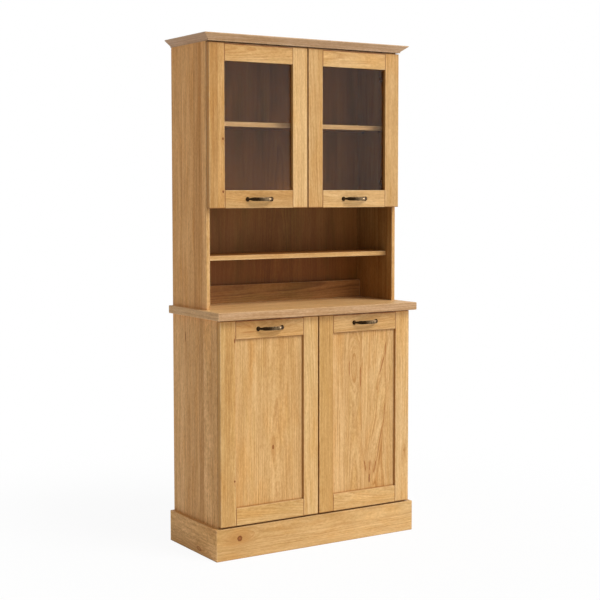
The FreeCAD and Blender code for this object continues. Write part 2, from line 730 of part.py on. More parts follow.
def join(drawing, first, first_end, second, second_end):
    """Adds a line between two ends and ties it to them."""
    start, end = drawing.getPoint(first, first_end), drawing.getPoint(second, second_end)
    line = drawing.addGeometry(Part.LineSegment(start, end))
    drawing.addConstraint(Sketcher.Constraint("Coincident", line, 1, first, first_end))
    drawing.addConstraint(Sketcher.Constraint("Coincident", line, 2, second, second_end))


def arch(handle, foot, inner):
    """The bow seen from above: two arcs from rosette to rosette, and its two feet."""
    drawing = handle.sketch("XY_Plane")
    outside = add_bow(handle.doc, drawing, foot, "0", "-handle_reach")
    inside = add_bow(handle.doc, drawing, inner, "0", "-(handle_reach - handle_thick)")
    for end in (1, 2):
        join(drawing, outside[0], outside[end], inside[0], inside[end])
    return drawing


def taper(handle, reach):
    """What is cut off above and below the bow, seen from the front, to slim its ends."""
    doc = handle.doc
    drawing = handle.sketch("XZ_Plane")
    for sign in ("", "-"):
        level = f"{sign}handle_end / 2"
        rise = f"{sign}(handle_middle - handle_end) / 2"
        bow = add_bow(doc, drawing, reach, level, rise)
        far = f"{sign}(handle_middle)"
        half, height = value(doc, reach), value(doc, far)
        edge = drawing.addGeometry(Part.LineSegment(Vector(-half, height, 0), Vector(half, height, 0)))
        hold_point(drawing, edge, 1, f"-({reach})", far, Vector(-half, height, 0))
        hold_point(drawing, edge, 2, reach, far, Vector(half, height, 0))
        join(drawing, bow[0], bow[1], edge, 1)
        join(drawing, bow[0], bow[2], edge, 2)
    return drawing


def make_doors(doc):
    """The four doors and their hinges. All the arms share one node."""
    bodies, arms = [], []
    lower = (
        LOWER_DOOR_FACE,
        LOWER_DOOR_BOTTOM,
        LOWER_DOOR_HEIGHT,
        "lower_top_rail",
        "lower_bottom_rail",
        "base_side_thick",
        False,
    )
    upper = (
        UPPER_DOOR_FACE,
        UPPER_DOOR_BOTTOM,
        "upper_door_height",
        "upper_top_rail",
        "upper_bottom_rail",
        "hutch_side_thick",
        True,
    )
    for row, facts in (("lower", lower), ("upper", upper)):
        for name, hand in (("left", LEFT), ("right", RIGHT)):
            door_bodies, door_arms = Door(f"{row}_{name}", hand, *facts).make(doc)
            bodies += door_bodies
            arms += door_arms
    return [*bodies, group(doc, "hinge_arms", arms)]


def check(doc, bodies):
    """Stops if any object failed or any node has a missing or broken shape."""
    for thing in doc.Objects:
        if "Invalid" in thing.State or "Error" in thing.State:
            raise RuntimeError(f"{thing.Label}: {thing.State}")
    for body in bodies:
        if body.Shape.isNull() or not body.Shape.isValid() or not body.Shape.Solids:
            raise RuntimeError(f"{body.Label}: its shape is missing or broken")


def main():
    """Builds the cupboard and writes one STEP file for each node."""
    doc = FreeCAD.newDocument("step_back_cupboard")
    make_sheet(doc)
    pins = BASE_SHELF.make_pins(doc) + DISPLAY_SHELF.make_pins(doc)
    bodies = [
        *make_plinth(doc),
        *make_base(doc),
        *make_worktop(doc),
        *make_hutch(doc),
        *make_cornice(doc),
        group(doc, "shelf_pins", pins),
        *make_doors(doc),
    ]
    doc.recompute()
    check(doc, bodies)
    os.makedirs("parts", exist_ok=True)
    for body in bodies:
        body.Shape.exportStep(os.path.join("parts", f"{body.Label}.step"))
        print(f"{body.Label}: {len(body.Shape.Solids)} solid(s), {body.Shape.Volume / 1000:.1f} cm3")


main()
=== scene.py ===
"""Step back cupboard in waxed pine: finishes of its boards, panes and fittings, its bow handles, and a plain studio."""

from __future__ import annotations

import logging
import math
from dataclasses import dataclass, field, replace
from enum import Enum

import bmesh
import bpy
from mathutils import Matrix, Vector


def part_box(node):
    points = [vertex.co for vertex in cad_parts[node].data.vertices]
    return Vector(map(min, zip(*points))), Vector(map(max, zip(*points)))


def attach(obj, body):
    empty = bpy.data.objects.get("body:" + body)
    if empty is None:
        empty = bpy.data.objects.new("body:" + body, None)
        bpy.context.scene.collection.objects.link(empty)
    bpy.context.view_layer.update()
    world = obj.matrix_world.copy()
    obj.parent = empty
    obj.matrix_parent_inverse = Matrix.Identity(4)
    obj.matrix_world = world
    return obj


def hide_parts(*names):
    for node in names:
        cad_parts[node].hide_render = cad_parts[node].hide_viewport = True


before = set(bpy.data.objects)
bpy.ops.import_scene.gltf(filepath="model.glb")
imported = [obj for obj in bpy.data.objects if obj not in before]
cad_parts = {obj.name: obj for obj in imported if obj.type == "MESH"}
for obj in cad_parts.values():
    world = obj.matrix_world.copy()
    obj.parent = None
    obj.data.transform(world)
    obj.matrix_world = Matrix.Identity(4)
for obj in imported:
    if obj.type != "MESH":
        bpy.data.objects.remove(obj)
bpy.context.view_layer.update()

LOG = logging.getLogger("cupboard")
Colour = tuple[float, float, float]
# Cells of a noise to the metre along each axis.
Cells = tuple[float, float, float]
# Where something starts and where it ends.
Span = tuple[float, float]
# Where a soft step starts and ends, and what it gives before and after.
Step = tuple[float, float, float, float]
# What goes into an input of a node.
Value = "Signal | float | tuple"
# What is special about the boards of one door, by the board's name and the field of PineBoard.
Own = dict[str, dict[str, object]]

WHITE: Colour = (1.0, 1.0, 1.0)


def linear(level: int) -> float:
    """Linear share of a display value from 0 to 255."""
    share = level / 255
    return share / 12.92 if share <= 0.04045 else ((share + 0.055) / 1.055) ** 2.4


def tint(red: int, green: int, blue: int) -> Colour:
    """Linear colour of three display values from 0 to 255."""
    return linear(red), linear(green), linear(blue)


def turned(colour: Colour, turn: Colour) -> Colour:
    """A colour with each of its parts multiplied."""
    return tuple(part * factor for part, factor in zip(colour, turn))


class Axis(Enum):
    """A direction of the cupboard: along its width, its depth or its height."""

    WIDTH = 0
    DEPTH = 1
    HEIGHT = 2


class StainAndShade(Enum):
    """Which broad faces of a board are darker, stained and with painted shade, on the inside: none, the low or the high
    side, or both.
    """

    NONE = 0
    LOW = 1
    HIGH = 2
    BOTH = 3


# ---------------------------------------------------------------- shader benches


@dataclass(frozen=True)
class Signal:
    """What one socket puts out; arithmetic with it lays the nodes that work the result out."""

    bench: Bench
    socket: bpy.types.NodeSocket

    def __add__(self, other: Value) -> Signal:
        """The sum of two numbers."""
        return self.bench.math("ADD", self, other)

    def __sub__(self, other: Value) -> Signal:
        """The difference of two numbers."""
        return self.bench.math("SUBTRACT", self, other)

    def __mul__(self, other: Value) -> Signal:
        """The product of two numbers."""
        return self.bench.math("MULTIPLY", self, other)

    def __truediv__(self, other: Value) -> Signal:
        """The quotient of two numbers."""
        return self.bench.math("DIVIDE", self, other)

    def __abs__(self) -> Signal:
        """The number without its sign."""
        return self.bench.math("ABSOLUTE", self)

    def max(self, other: Value) -> Signal:
        """The larger of two numbers."""
        return self.bench.math("MAXIMUM", self, other)

    def min(self, other: Value) -> Signal:
        """The smaller of two numbers."""
        return self.bench.math("MINIMUM", self, other)

    def step(self, low: float, high: float, start: float = 0.0, end: float = 1.0) -> Signal:
        """A soft step between low and high, with the result start before it and end after it."""
        values = {0: self, 1: low, 2: high, 3: start, 4: end}
        return self.bench.read("ShaderNodeMapRange", 0, values, interpolation_type="SMOOTHSTEP")


class Bench:
    """Lays nodes in one shader tree and joins them."""

    def __init__(self, tree: bpy.types.NodeTree) -> None:
        """Starts on the emptied tree of a material, a world or a node group."""
        self.tree = tree
        tree.nodes.clear()

    def node(self, kind: str, values: dict | None = None, **settings: object) -> bpy.types.Node:
        """Adds one node.

        Args:
            kind: Blender's name of the node type.
            values: what goes into its inputs, by name or number: a signal to join, or a plain value.
            settings: attributes of the node itself, such as operation.

        Returns:
            The new node.
        """
        made = self.tree.nodes.new(kind)
        for name, setting in settings.items():
            setattr(made, name, setting)
        for key, value in (values or {}).items():
            self.put(made.inputs[key], value)
        return made

    def read(self, kind: str, output: str | int, values: dict | None = None, **settings: object) -> Signal:
        """Adds one node, as node does, and takes one of its outputs."""
        return Signal(self, self.node(kind, values, **settings).outputs[output])

    def signals(self, node: bpy.types.Node) -> dict[str, Signal]:
        """The outputs of a node by their names."""
        return {output.name: Signal(self, output) for output in node.outputs if output.name}

    def put(self, socket: bpy.types.NodeSocket, value: Value) -> None:
        """Joins a signal to an input, or sets the input's own value.

        Args:
            socket: the input.
            value: a signal, a number, or three or four numbers.
        """
        if isinstance(value, Signal):
            self.tree.links.new(value.socket, socket)
        elif socket.type == "RGBA" and len(value) == 3:
            socket.default_value = (*value, 1.0)
        else:
            socket.default_value = value

    def math(self, operation: str, *values: Value) -> Signal:
        """One step of arithmetic on numbers, by Blender's name of it."""
        return self.read("ShaderNodeMath", 0, dict(enumerate(values)), operation=operation)

    def vector(self, operation: str, *values: Value) -> Signal:
        """One step of arithmetic on places, by Blender's name of it."""
        output = "Value" if operation == "LENGTH" else 0
        return self.read("ShaderNodeVectorMath", output, dict(enumerate(values)), operation=operation)

    def join(self, x: Value, y: Value, z: Value) -> Signal:
        """A place from its three coordinates."""
        return self.read("ShaderNodeCombineXYZ", 0, {0: x, 1: y, 2: z})

    def split(self, place: Signal) -> list[Signal]:
        """The three coordinates of a place."""
        return list(self.signals(self.node("ShaderNodeSeparateXYZ", {0: place})).values())

    def mix(self, share: Value, first: Value, second: Value, blend: str = "MIX") -> Signal:
        """The first colour with a share of the second over it, by Blender's name of the way they mix."""
        return self.read("ShaderNodeMix", 2, {0: share, 6: first, 7: second}, data_type="RGBA", blend_type=blend)

    def noise(self, place: Signal, cells: Value, seed: Value = 0.0, detail: float = 2.0, rough: float = 0.5,
              warp: float = 0.0) -> Signal:
        """Smooth noise from 0 to 1.

        Args:
            place: where it is read.
            cells: its cells to the metre along each axis.
            seed: picks one noise of many.
            detail: finer layers on top.
            rough: strength of the finer layers.
            warp: how far it folds over itself.

        Returns:
            The noise.
        """
        values = {"Vector": self.vector("MULTIPLY", place, cells), "W": seed, "Scale": 1.0, "Detail": detail,
                  "Roughness": rough, "Distortion": warp}
        return self.read("ShaderNodeTexNoise", 0, values, noise_dimensions="4D")

    def surface(self, relief: Span, height: Signal, values: dict[str, Value]) -> Signal:
        """A surface with a relief of some strength and depth, and the values of its other inputs by name."""
        bump = self.read("ShaderNodeBump", 0, {"Strength": relief[0], "Distance": relief[1], "Height": height})
        return self.read("ShaderNodeBsdfPrincipled", 0, {**values, "Normal": bump})

    def blend(self, share: Signal, first: Signal, second: Signal) -> Signal:
        """The first shader with a share of the second."""
        return self.read("ShaderNodeMixShader", 0, {0: share, 1: first, 2: second})

    def seen(self) -> Signal:
        """1 for what the camera sees, also in a mirror or through glass, and 0 for light on other things."""
        paths = self.signals(self.node("ShaderNodeLightPath"))
        return paths["Is Camera Ray"].max(paths["Is Glossy Ray"].max(paths["Is Transmission Ray"]))


def new_material(name: str) -> tuple[bpy.types.Material, Bench]:
    """Makes an empty material.

    Args:
        name: its name.

    Returns:
        The material, and the bench that lays its nodes.
    """
    material = bpy.data.materials.new(name)
    material.use_nodes = True
    return material, Bench(material.node_tree)


class Effect(Bench):
    """A shader effect that several finishes share, as a node group.

    Each effect names its inputs and outputs by their kind, and lays its own nodes.
    """

    title: str
    inputs: dict[str, tuple[str, ...]]
    outputs: dict[str, tuple[str, ...]]

    def __init__(self) -> None:
        """Makes the group with its sockets and lays its nodes."""
        self.group = bpy.data.node_groups.new(self.title, "ShaderNodeTree")
        super().__init__(self.group)
        for way, kinds in (("INPUT", self.inputs), ("OUTPUT", self.outputs)):
            for kind, names in kinds.items():
                for name in names:
                    self.group.interface.new_socket(name=name, in_out=way, socket_type=f"NodeSocket{kind}")
        self.take = self.signals(self.node("NodeGroupInput"))
        self.lay()

    def lay(self) -> None:
        """Lays the effect's nodes, from what the group takes to what it gives."""
        raise NotImplementedError

    def give(self, values: dict[str, Signal]) -> None:
        """Joins signals to the group's outputs by name."""
        self.node("NodeGroupOutput", values)

    def place_in(self, bench: Bench, marks: dict[str, Value], **values: Value) -> dict[str, Signal]:
        """Puts the effect into a material.

        Args:
            bench: the material's bench.
            marks: what other effects put out; it is joined to the inputs that have the same name.
            values: what goes into its other inputs, with _ for a space in their names.

        Returns:
            The effect's outputs by name.
        """
        made = bench.node("ShaderNodeGroup", node_tree=self.group)
        for name, value in {**marks, **{name.replace("_", " "): value for name, value in values.items()}}.items():
            if name in made.inputs:
                bench.put(made.inputs[name], value)
        return bench.signals(made)


class Rings(Effect):
    """Growth rings of a log, cut by the board: late wood lines, bowed into arches where the log leans."""

    title = "growth_rings"
    inputs = {"Vector": ("Place",), "Float": ("Heart Across", "Heart Deep", "Lean", "Ring", "Deeper", "Wander", "Swell",
                                              "Seed")}
    outputs = {"Float": ("Late", "Growth", "Reach")}
    slow_cells: Cells = (1.1, 4.0, 4.0)
    quick_cells: Cells = (9.0, 26.0, 26.0)
    year_cells: Cells = (0.13, 0.0, 0.0)
    patch_cells: Cells = (14.0, 30.0, 30.0)
    quick_share = 0.13
    year_spread = 5.0
    quick_seed = 11.0
    patch_seed = 17.0
    late_rise: Span = (0.3, 0.88)
    late_fall: Span = (1.0, 0.92)
    patch_step: Step = (0.3, 0.65, 0.45, 1.0)
    strength_step: Step = (-0.3, 1.0, 0.25, 1.0)

    def lay(self) -> None:
        """Lays the rings."""
        take = self.take
        place, seed = take["Place"], take["Seed"]
        along, across, deep = self.split(place)
        slow = self.noise(place, self.slow_cells, seed)
        quick = self.noise(place, self.quick_cells, seed + self.quick_seed)
        bend = (slow - 0.5) + (quick - 0.5) * self.quick_share
        rise = deep - (along * take["Lean"] + (take["Heart Deep"] + take["Deeper"]))
        reach = self.vector("LENGTH", self.join(across - take["Heart Across"], rise, 0.0))
        reach = bend * take["Wander"] + reach + take["Swell"]
        count = reach / take["Ring"]
        year = self.noise(self.join(count, 0.0, 0.0), self.year_cells, seed, rough=0.6)
        count = (year - 0.5) * self.year_spread + count
        part = self.math("FRACT", count)
        late = part.step(*self.late_rise) * part.step(*self.late_fall)
        late = late * self.noise(place, self.patch_cells, seed + self.patch_seed).step(*self.patch_step)
        whole = self.join(self.math("FLOOR", count), seed, 0.0)
        strength = self.read("ShaderNodeTexWhiteNoise", 0, {0: whole}, noise_dimensions="2D")
        self.give({"Late": late * strength.step(*self.strength_step), "Growth": year, "Reach": reach})


@dataclass(frozen=True)
class Mark:
    """One kind of mark in the wood, drawn out along the grain.

    It has the seed, the finer layers and the roughness of its noise, and its cells to the metre along the grain,
    across it and aside. The last two may be multiples of an input of the fibre.
    """

    seed: float
    layers: float
    rough: float
    along: float
    across: float
    aside: float
    multiple_of: str = ""


class Fibre(Effect):
    """Long wood fibre that follows the rings: broad strips, mottling, streaks, fine threads and short resin flecks."""

    title = "long_fibre"
    inputs = {"Vector": ("Place",), "Float": ("Reach", "Broad", "Fine", "Seed")}
    outputs = {"Float": ("Strip", "Mottle", "Blotch", "Streak", "Thread", "Fleck")}
    ripple_cells: Cells = (18.0, 45.0, 45.0)
    ripple_height = 0.003
    across_share = 0.35
    deep_share = 0.6
    fleck_step: Span = (0.66, 0.74)
    marks = {"Strip": Mark(0.0, 3.0, 0.62, 0.7, 1.0, 0.8, "Broad"), "Mottle": Mark(3.0, 2.0, 0.6, 7.0, 80.0, 60.0),
             "Blotch": Mark(5.0, 3.0, 0.6, 4.0, 22.0, 22.0), "Streak": Mark(7.0, 3.0, 0.75, 5.0, 270.0, 200.0, "Fine"),
             "Thread": Mark(9.0, 3.0, 0.7, 80.0, 500.0, 400.0, "Fine"),
             "Fleck": Mark(13.0, 1.0, 0.5, 42.0, 1500.0, 900.0)}

    def lay(self) -> None:
        """Lays the fibre."""
        take = self.take
        along, across, deep = self.split(take["Place"])
        ripple = (self.noise(take["Place"], self.ripple_cells, take["Seed"]) - 0.5) * self.ripple_height
        grain = self.join(along, take["Reach"] + ripple, across * self.across_share + deep * self.deep_share)
        made = {}
        for name, mark in self.marks.items():
            across, aside = (take[mark.multiple_of] * size if mark.multiple_of else size
                             for size in (mark.across, mark.aside))
            cells = self.join(mark.along, across, aside)
            made[name] = self.noise(grain, cells, take["Seed"] + mark.seed, mark.layers, mark.rough)
        self.give(made | {"Fleck": made["Fleck"].step(*self.fleck_step)})


class KnotSpot(Effect):
    """One knot: its dark heart, its halo, and how far the grain swells round it."""

    title = "knot"
    inputs = {"Vector": ("Place", "Centre"), "Float": ("Radius", "Stretch", "Slant", "Dark", "Core In", "Halo In",
                                                       "Swell In")}
    outputs = {"Float": ("Core", "Halo", "Swell")}
    ragged_cells: Cells = (260.0, 380.0, 120.0)
    ragged_seed = 3.0
    raggedness = 0.5
    flatness = 0.25
    halo_stretch: Cells = (0.42, 1.0, 1.0)
    bulge_fall = -0.16
    bulge_height = -1.6
    core_edge: Span = (1.2, 0.85)
    core_ring: Step = (0.8, 0.3, 1.0, 0.45)
    halo_edge: Span = (3.6, 0.8)
    halo_dark: Step = (0.1, 0.9, 0.35, 1.0)

    def lay(self) -> None:
        """Lays the knot over what earlier knots left."""
        take = self.take
        along, across, deep = self.split(self.vector("SUBTRACT", take["Place"], take["Centre"]))
        across, along = across - along * take["Slant"], along / take["Stretch"]
        gap = self.join(along, across, deep * self.flatness)
        ragged = self.noise(take["Place"], self.ragged_cells, self.ragged_seed)
        far = self.vector("LENGTH", gap) / take["Radius"] + (ragged - 0.5) * self.raggedness
        spread = self.vector("LENGTH", self.vector("MULTIPLY", gap, self.halo_stretch)) / take["Radius"]
        bulge = self.math("EXPONENT", spread * spread * self.bulge_fall)
        core = far.step(*self.core_edge) * far.step(*self.core_ring) * take["Dark"]
        halo = spread.step(*self.halo_edge) * take["Dark"].step(*self.halo_dark)
        self.give({"Core": core.max(take["Core In"]), "Halo": halo.max(take["Halo In"]),
                   "Swell": bulge * take["Radius"] * self.bulge_height + take["Swell In"]})


class Arris(Effect):
    """Distance from the nearest edge of a board, as wear on the edge, as dark lines where boards meet, and as painted
    shade in nooks, along the foot and along the head.

    The lines are given by the distances, in metres, where they end and where they are full.
    """

    title = "arris_wear"
    inputs = {"Vector": ("Place", "Half"), "Float": ("Inset", "Shoulder", "Seed")}
    outputs = {"Float": ("Worn", "Line", "Nook Shade", "Foot Shade", "Head Shade")}
    wear_width = 0.0025
    wear_cells: Cells = (34.0, 34.0, 34.0)
    wear_edge: Span = (1.0, 0.35)
    wear_reach: Step = (0.25, 0.75, 0.35, 1.6)
    wear_depth: Step = (0.3, 0.6, 0.25, 1.0)
    shoulder_line: Span = (0.0036, 0.0016)
    foot_shade_line: Span = (0.0030, 0.0012)
    head_shade_line: Span = (0.0050, 0.0034)
    nook_shade_line: Span = (0.0065, 0.0005)

    def lay(self) -> None:
        """Lays the edges."""
        take = self.take
        a, b, c = self.split(self.vector("SUBTRACT", take["Half"], self.vector("ABSOLUTE", take["Place"])))
        nearest = a.min(b)
        second = nearest.max(a.max(b).min(c))
        patches = self.noise(take["Place"], self.wear_cells, take["Seed"], 3.0, 0.6)
        worn = (second / self.wear_width / patches.step(*self.wear_reach)).step(*self.wear_edge)
        across, half = self.split(take["Place"])[1], self.split(take["Half"])[1]
        self.give({"Worn": worn * patches.step(*self.wear_depth),
                   "Line": abs(a - take["Shoulder"]).step(*self.shoulder_line),
                   "Nook Shade": (nearest - take["Inset"]).step(*self.nook_shade_line),
                   "Foot Shade": (across + half).step(*self.foot_shade_line), "Head Shade": (half - across).step(*self.head_shade_line)})


class Waxing(Effect):
    """Colour, roughness and height of waxed pine, from the marks of its grain.

    The tables give each mark's share in the colour, in the roughness and in the height.
    """

    title = "waxed_pine"
    inputs = {"Float": ("Late", "Growth", "Strip", "Mottle", "Blotch", "Streak", "Thread", "Fleck", "Core", "Halo",
                        "Worn", "Line", "Nook Shade", "Seam", "End", "Rim", "Stave", "Contrast", "Strips", "Grain"),
              "Color": ("Rim Colour", "Early Colour", "Late Colour", "Strip Colour", "Blotch Colour", "Knot Colour")}
    outputs = {"Color": ("Color",), "Float": ("Roughness", "Height")}
    strip_step: Span = (0.44, 0.66)
    mottle_step: Step = (0.48, 0.72, 0.0, 0.5)
    blotch_step: Step = (0.46, 0.7, 0.0, 0.8)
    streak_light: Step = (0.28, 0.72, 1.11, 0.87)
    thread_light: Step = (0.25, 0.75, -0.12, 0.11)
    growth_light: Step = (0.25, 0.75, 1.05, 0.95)
    mottle_light: Step = (0.5, 0.25, 1.0, 1.05)
    plain_light = 0.98
    stave_light: Span = (0.6, 0.7)
    green_power = 1.36
    blue_power = 2.0
    thread_rough: Step = (0.2, 0.8, 0.42, 0.56)
    core_gain = 2.0
    worn_pale = 0.6
    dirt_and_shade_dark = 0.55
    mottle_wash: Colour = (0.91, 0.89, 0.74)
    knot_wash: Colour = (0.86, 0.62, 0.36)
    rubbed: Colour = (0.86, 0.68, 0.42)
    shares = {"Fleck": 0.35, "Halo": 0.5, "Core": 0.86, "End": 0.38, "Worn": 0.3, "Line": 0.8, "Seam": 0.4,
              "Nook Shade": 0.6}
    rougher = {"End": 0.2, "Late": -0.06, "Worn": 0.1}
    higher = {"Late": 0.4, "Thread": 0.5, "Streak": 0.3, "Fleck": -0.35}
    joint_depth = 0.9

    def lay(self) -> None:
        """Lays the wood, its light and dark, its marks and its wear."""
        take = self.take
        early, late, knot = take["Early Colour"], take["Late Colour"], take["Knot Colour"]
        shown = {mark: take[mark] * share for mark, share in self.shares.items() if mark != "Core"}
        base = self.mix(take["Late"] * take["Contrast"], early, late)
        base = self._wash(base, take["Strip"].step(*self.strip_step) * take["Strips"], take["Strip Colour"])
        base = self._wash(base, take["Mottle"].step(*self.mottle_step), self.mottle_wash)
        base = self._wash(base, take["Blotch"].step(*self.blotch_step), take["Blotch Colour"])
        level = self._level()
        green, blue = (self.math("POWER", level, power) for power in (self.green_power, self.blue_power))
        base = self.vector("MULTIPLY", base, self.join(level, green, blue))
        # Rim colour tints a board's narrow edges; on the doors it is painted shade.
        base = self._wash(base, take["Rim"], take["Rim Colour"])
        base = self.mix(shown["Halo"], self.mix(shown["Fleck"], base, late), late)
        stain_and_shade = self.mix(take["Core"], self.mix(1.0, late, self.knot_wash, "MULTIPLY"), knot)
        base = self.mix((take["Core"] * self.core_gain).min(self.shares["Core"]), base, stain_and_shade)
        base = self.mix(shown["End"], base, late)
        base = self.mix(shown["Worn"], base, self.mix(self.worn_pale, early, self.rubbed))
        # Dark joint and glue lines are real; the nook and foot parts are painted shade.
        dirt_and_shade = shown["Line"].max(shown["Seam"]).max(shown["Nook Shade"])
        base = self.mix(dirt_and_shade, base, self.mix(self.dirt_and_shade_dark, late, knot))
        rough = take["Thread"].step(*self.thread_rough)
        for mark, share in self.rougher.items():
            rough = rough + take[mark] * share
        height = take["Seam"].max(take["Line"]) * -self.joint_depth
        for mark, share in self.higher.items():
            height = height + take[mark] * share
        self.give({"Color": base, "Roughness": rough, "Height": height})

    def _level(self) -> Signal:
        """Works out how light the wood is.

        Returns:
            The lightness, 1 for the plain colour.
        """
        take = self.take
        fine = take["Streak"].step(*self.streak_light) + take["Thread"].step(*self.thread_light)
        level = (fine - self.plain_light) * take["Grain"] + self.plain_light
        level = level * take["Growth"].step(*self.growth_light) * take["Mottle"].step(*self.mottle_light)
        slope, least = self.stave_light
        return level * (take["Stave"] * slope + least)

    def _wash(self, base: Signal, share: Signal, colour: Value) -> Signal:
        """Lays a thin colour, which is what white turns into, over the wood."""
        return self.mix(share, base, self.mix(1.0, base, colour, "MULTIPLY"))


class Tarnish(Effect):
    """Patina of cast metal: cloudy dark brown, rubbed through on the proud parts, and bare where a painted highlight
    lies.
    """

    title = "tarnish"
    inputs = {"Vector": ("Place",), "Float": ("Proud", "Scale"), "Color": ("Dark Colour", "Bare Colour")}
    outputs = {"Color": ("Color",), "Float": ("Roughness", "Height")}
    cloud_cells: Cells = (1.0, 1.0, 1.0)
    pit_cells: Cells = (9.0, 9.0, 9.0)
    rubbed_step: Step = (0.3, 0.6, 0.3, 1.0)
    bare_step: Step = (0.55, 0.75, 0.0, 0.12)
    cloud_rough: Step = (0.3, 0.7, 0.2, 0.3)
    pit_rough: Step = (0.3, 0.7, -0.05, 0.05)
    bare_rough = 0.12
    pit_height = 0.4

    def lay(self) -> None:
        """Lays the patina."""
        take = self.take
        place = self.vector("MULTIPLY", take["Place"], self.join(take["Scale"], take["Scale"], take["Scale"]))
        cloud = self.noise(place, self.cloud_cells, detail=4.0, rough=0.55, warp=0.4)
        pits = self.noise(place, self.pit_cells)
        bare = (take["Proud"] * cloud.step(*self.rubbed_step)).min(1.0).max(cloud.step(*self.bare_step))
        rough = cloud.step(*self.cloud_rough) + pits.step(*self.pit_rough) + bare * self.bare_rough
        self.give({"Color": self.mix(bare, take["Dark Colour"], take["Bare Colour"]), "Roughness": rough,
                   "Height": pits * self.pit_height + cloud})


@dataclass
class Effects:
    """The shader effects that the finishes share, each built once."""

    rings: Rings = field(default_factory=Rings)
    fibre: Fibre = field(default_factory=Fibre)
    knot: KnotSpot = field(default_factory=KnotSpot)
    arris: Arris = field(default_factory=Arris)
    waxing: Waxing = field(default_factory=Waxing)
    tarnish: Tarnish = field(default_factory=Tarnish)


# ---------------------------------------------------------------- pine


@dataclass(frozen=True)
class Knot:
    """A knot or resin streak: its place along and across the grain in the cupboard's frame, and its radius, in metres.

    Stretch is how many times longer than wide it is, dark how deep its colour is, and slant how far it runs across
    the grain for each metre along it.
    """

    along: float
    across: float
    radius: float
    stretch: float = 1.4
    dark: float = 1.0
    slant: float = 0.0


@dataclass(frozen=True)
class Stave:
    """One of the strips a wide board is glued up from.

    Edge is where it ends across the board and heart is where its log's heart lies, both in the cupboard's frame.
    Shift moves it along its log, and deeper moves the heart away from the face.
    """

    edge: float
    tone: float
    shift: float
    heart: float
    deeper: float = 0.0


@dataclass(frozen=True)
class Fade:
    """A change of tone along the low face of a board: where it starts and ends, and what is added before it."""

    start: float
    end: float
    before: float


@dataclass(frozen=True)
class PineFinish:
    """Colours of one quality of waxed pine and how strongly its grain shows."""

    early: Colour
    late: Colour
    strip: Colour
    blotch: Colour
    knot: Colour
    contrast: float
    strips: float


HONEY = PineFinish(early=tint(214, 172, 115), late=tint(182, 128, 68), strip=(0.85, 0.75, 0.58),
                   blotch=(0.98, 0.88, 0.70), knot=tint(112, 52, 14), contrast=0.5, strips=0.75)
# A darker copy of the honey pine for the inside and hidden boards: stained, and partly painted shade.
UMBER = PineFinish(early=tint(162, 108, 54), late=tint(112, 68, 30), strip=(0.70, 0.66, 0.55),
                   blotch=(0.74, 0.86, 0.70), knot=tint(46, 26, 12), contrast=0.7, strips=0.8)
TAWNY = PineFinish(early=tint(203, 163, 114), late=tint(172, 130, 84), strip=(0.92, 0.88, 0.82),
                   blotch=(0.96, 0.91, 0.82), knot=tint(80, 48, 24), contrast=0.45, strips=0.5)
BEECH = PineFinish(early=tint(226, 190, 146), late=tint(206, 160, 116), strip=(0.93, 0.90, 0.85),
                   blotch=(0.96, 0.92, 0.86), knot=tint(120, 80, 50), contrast=0.3, strips=0.3)

# How squarely a face looks along an axis, from not counting as such a face to counting fully.
END_FACE: Span = (0.6, 0.9)
RIM_FACE: Span = (0.35, 0.75)
RIM_SIDES: Span = (-0.1, 0.1)
LOW_FACE: Span = (0.0, -0.5)
# Strength and depth of the grain's relief, half the width of a glue line, and how far staves may be shifted.
WOOD_RELIEF: Span = (0.35, 0.0005)
GLUE_LINE = 0.0006
SHIFT_SPAN = 4.0


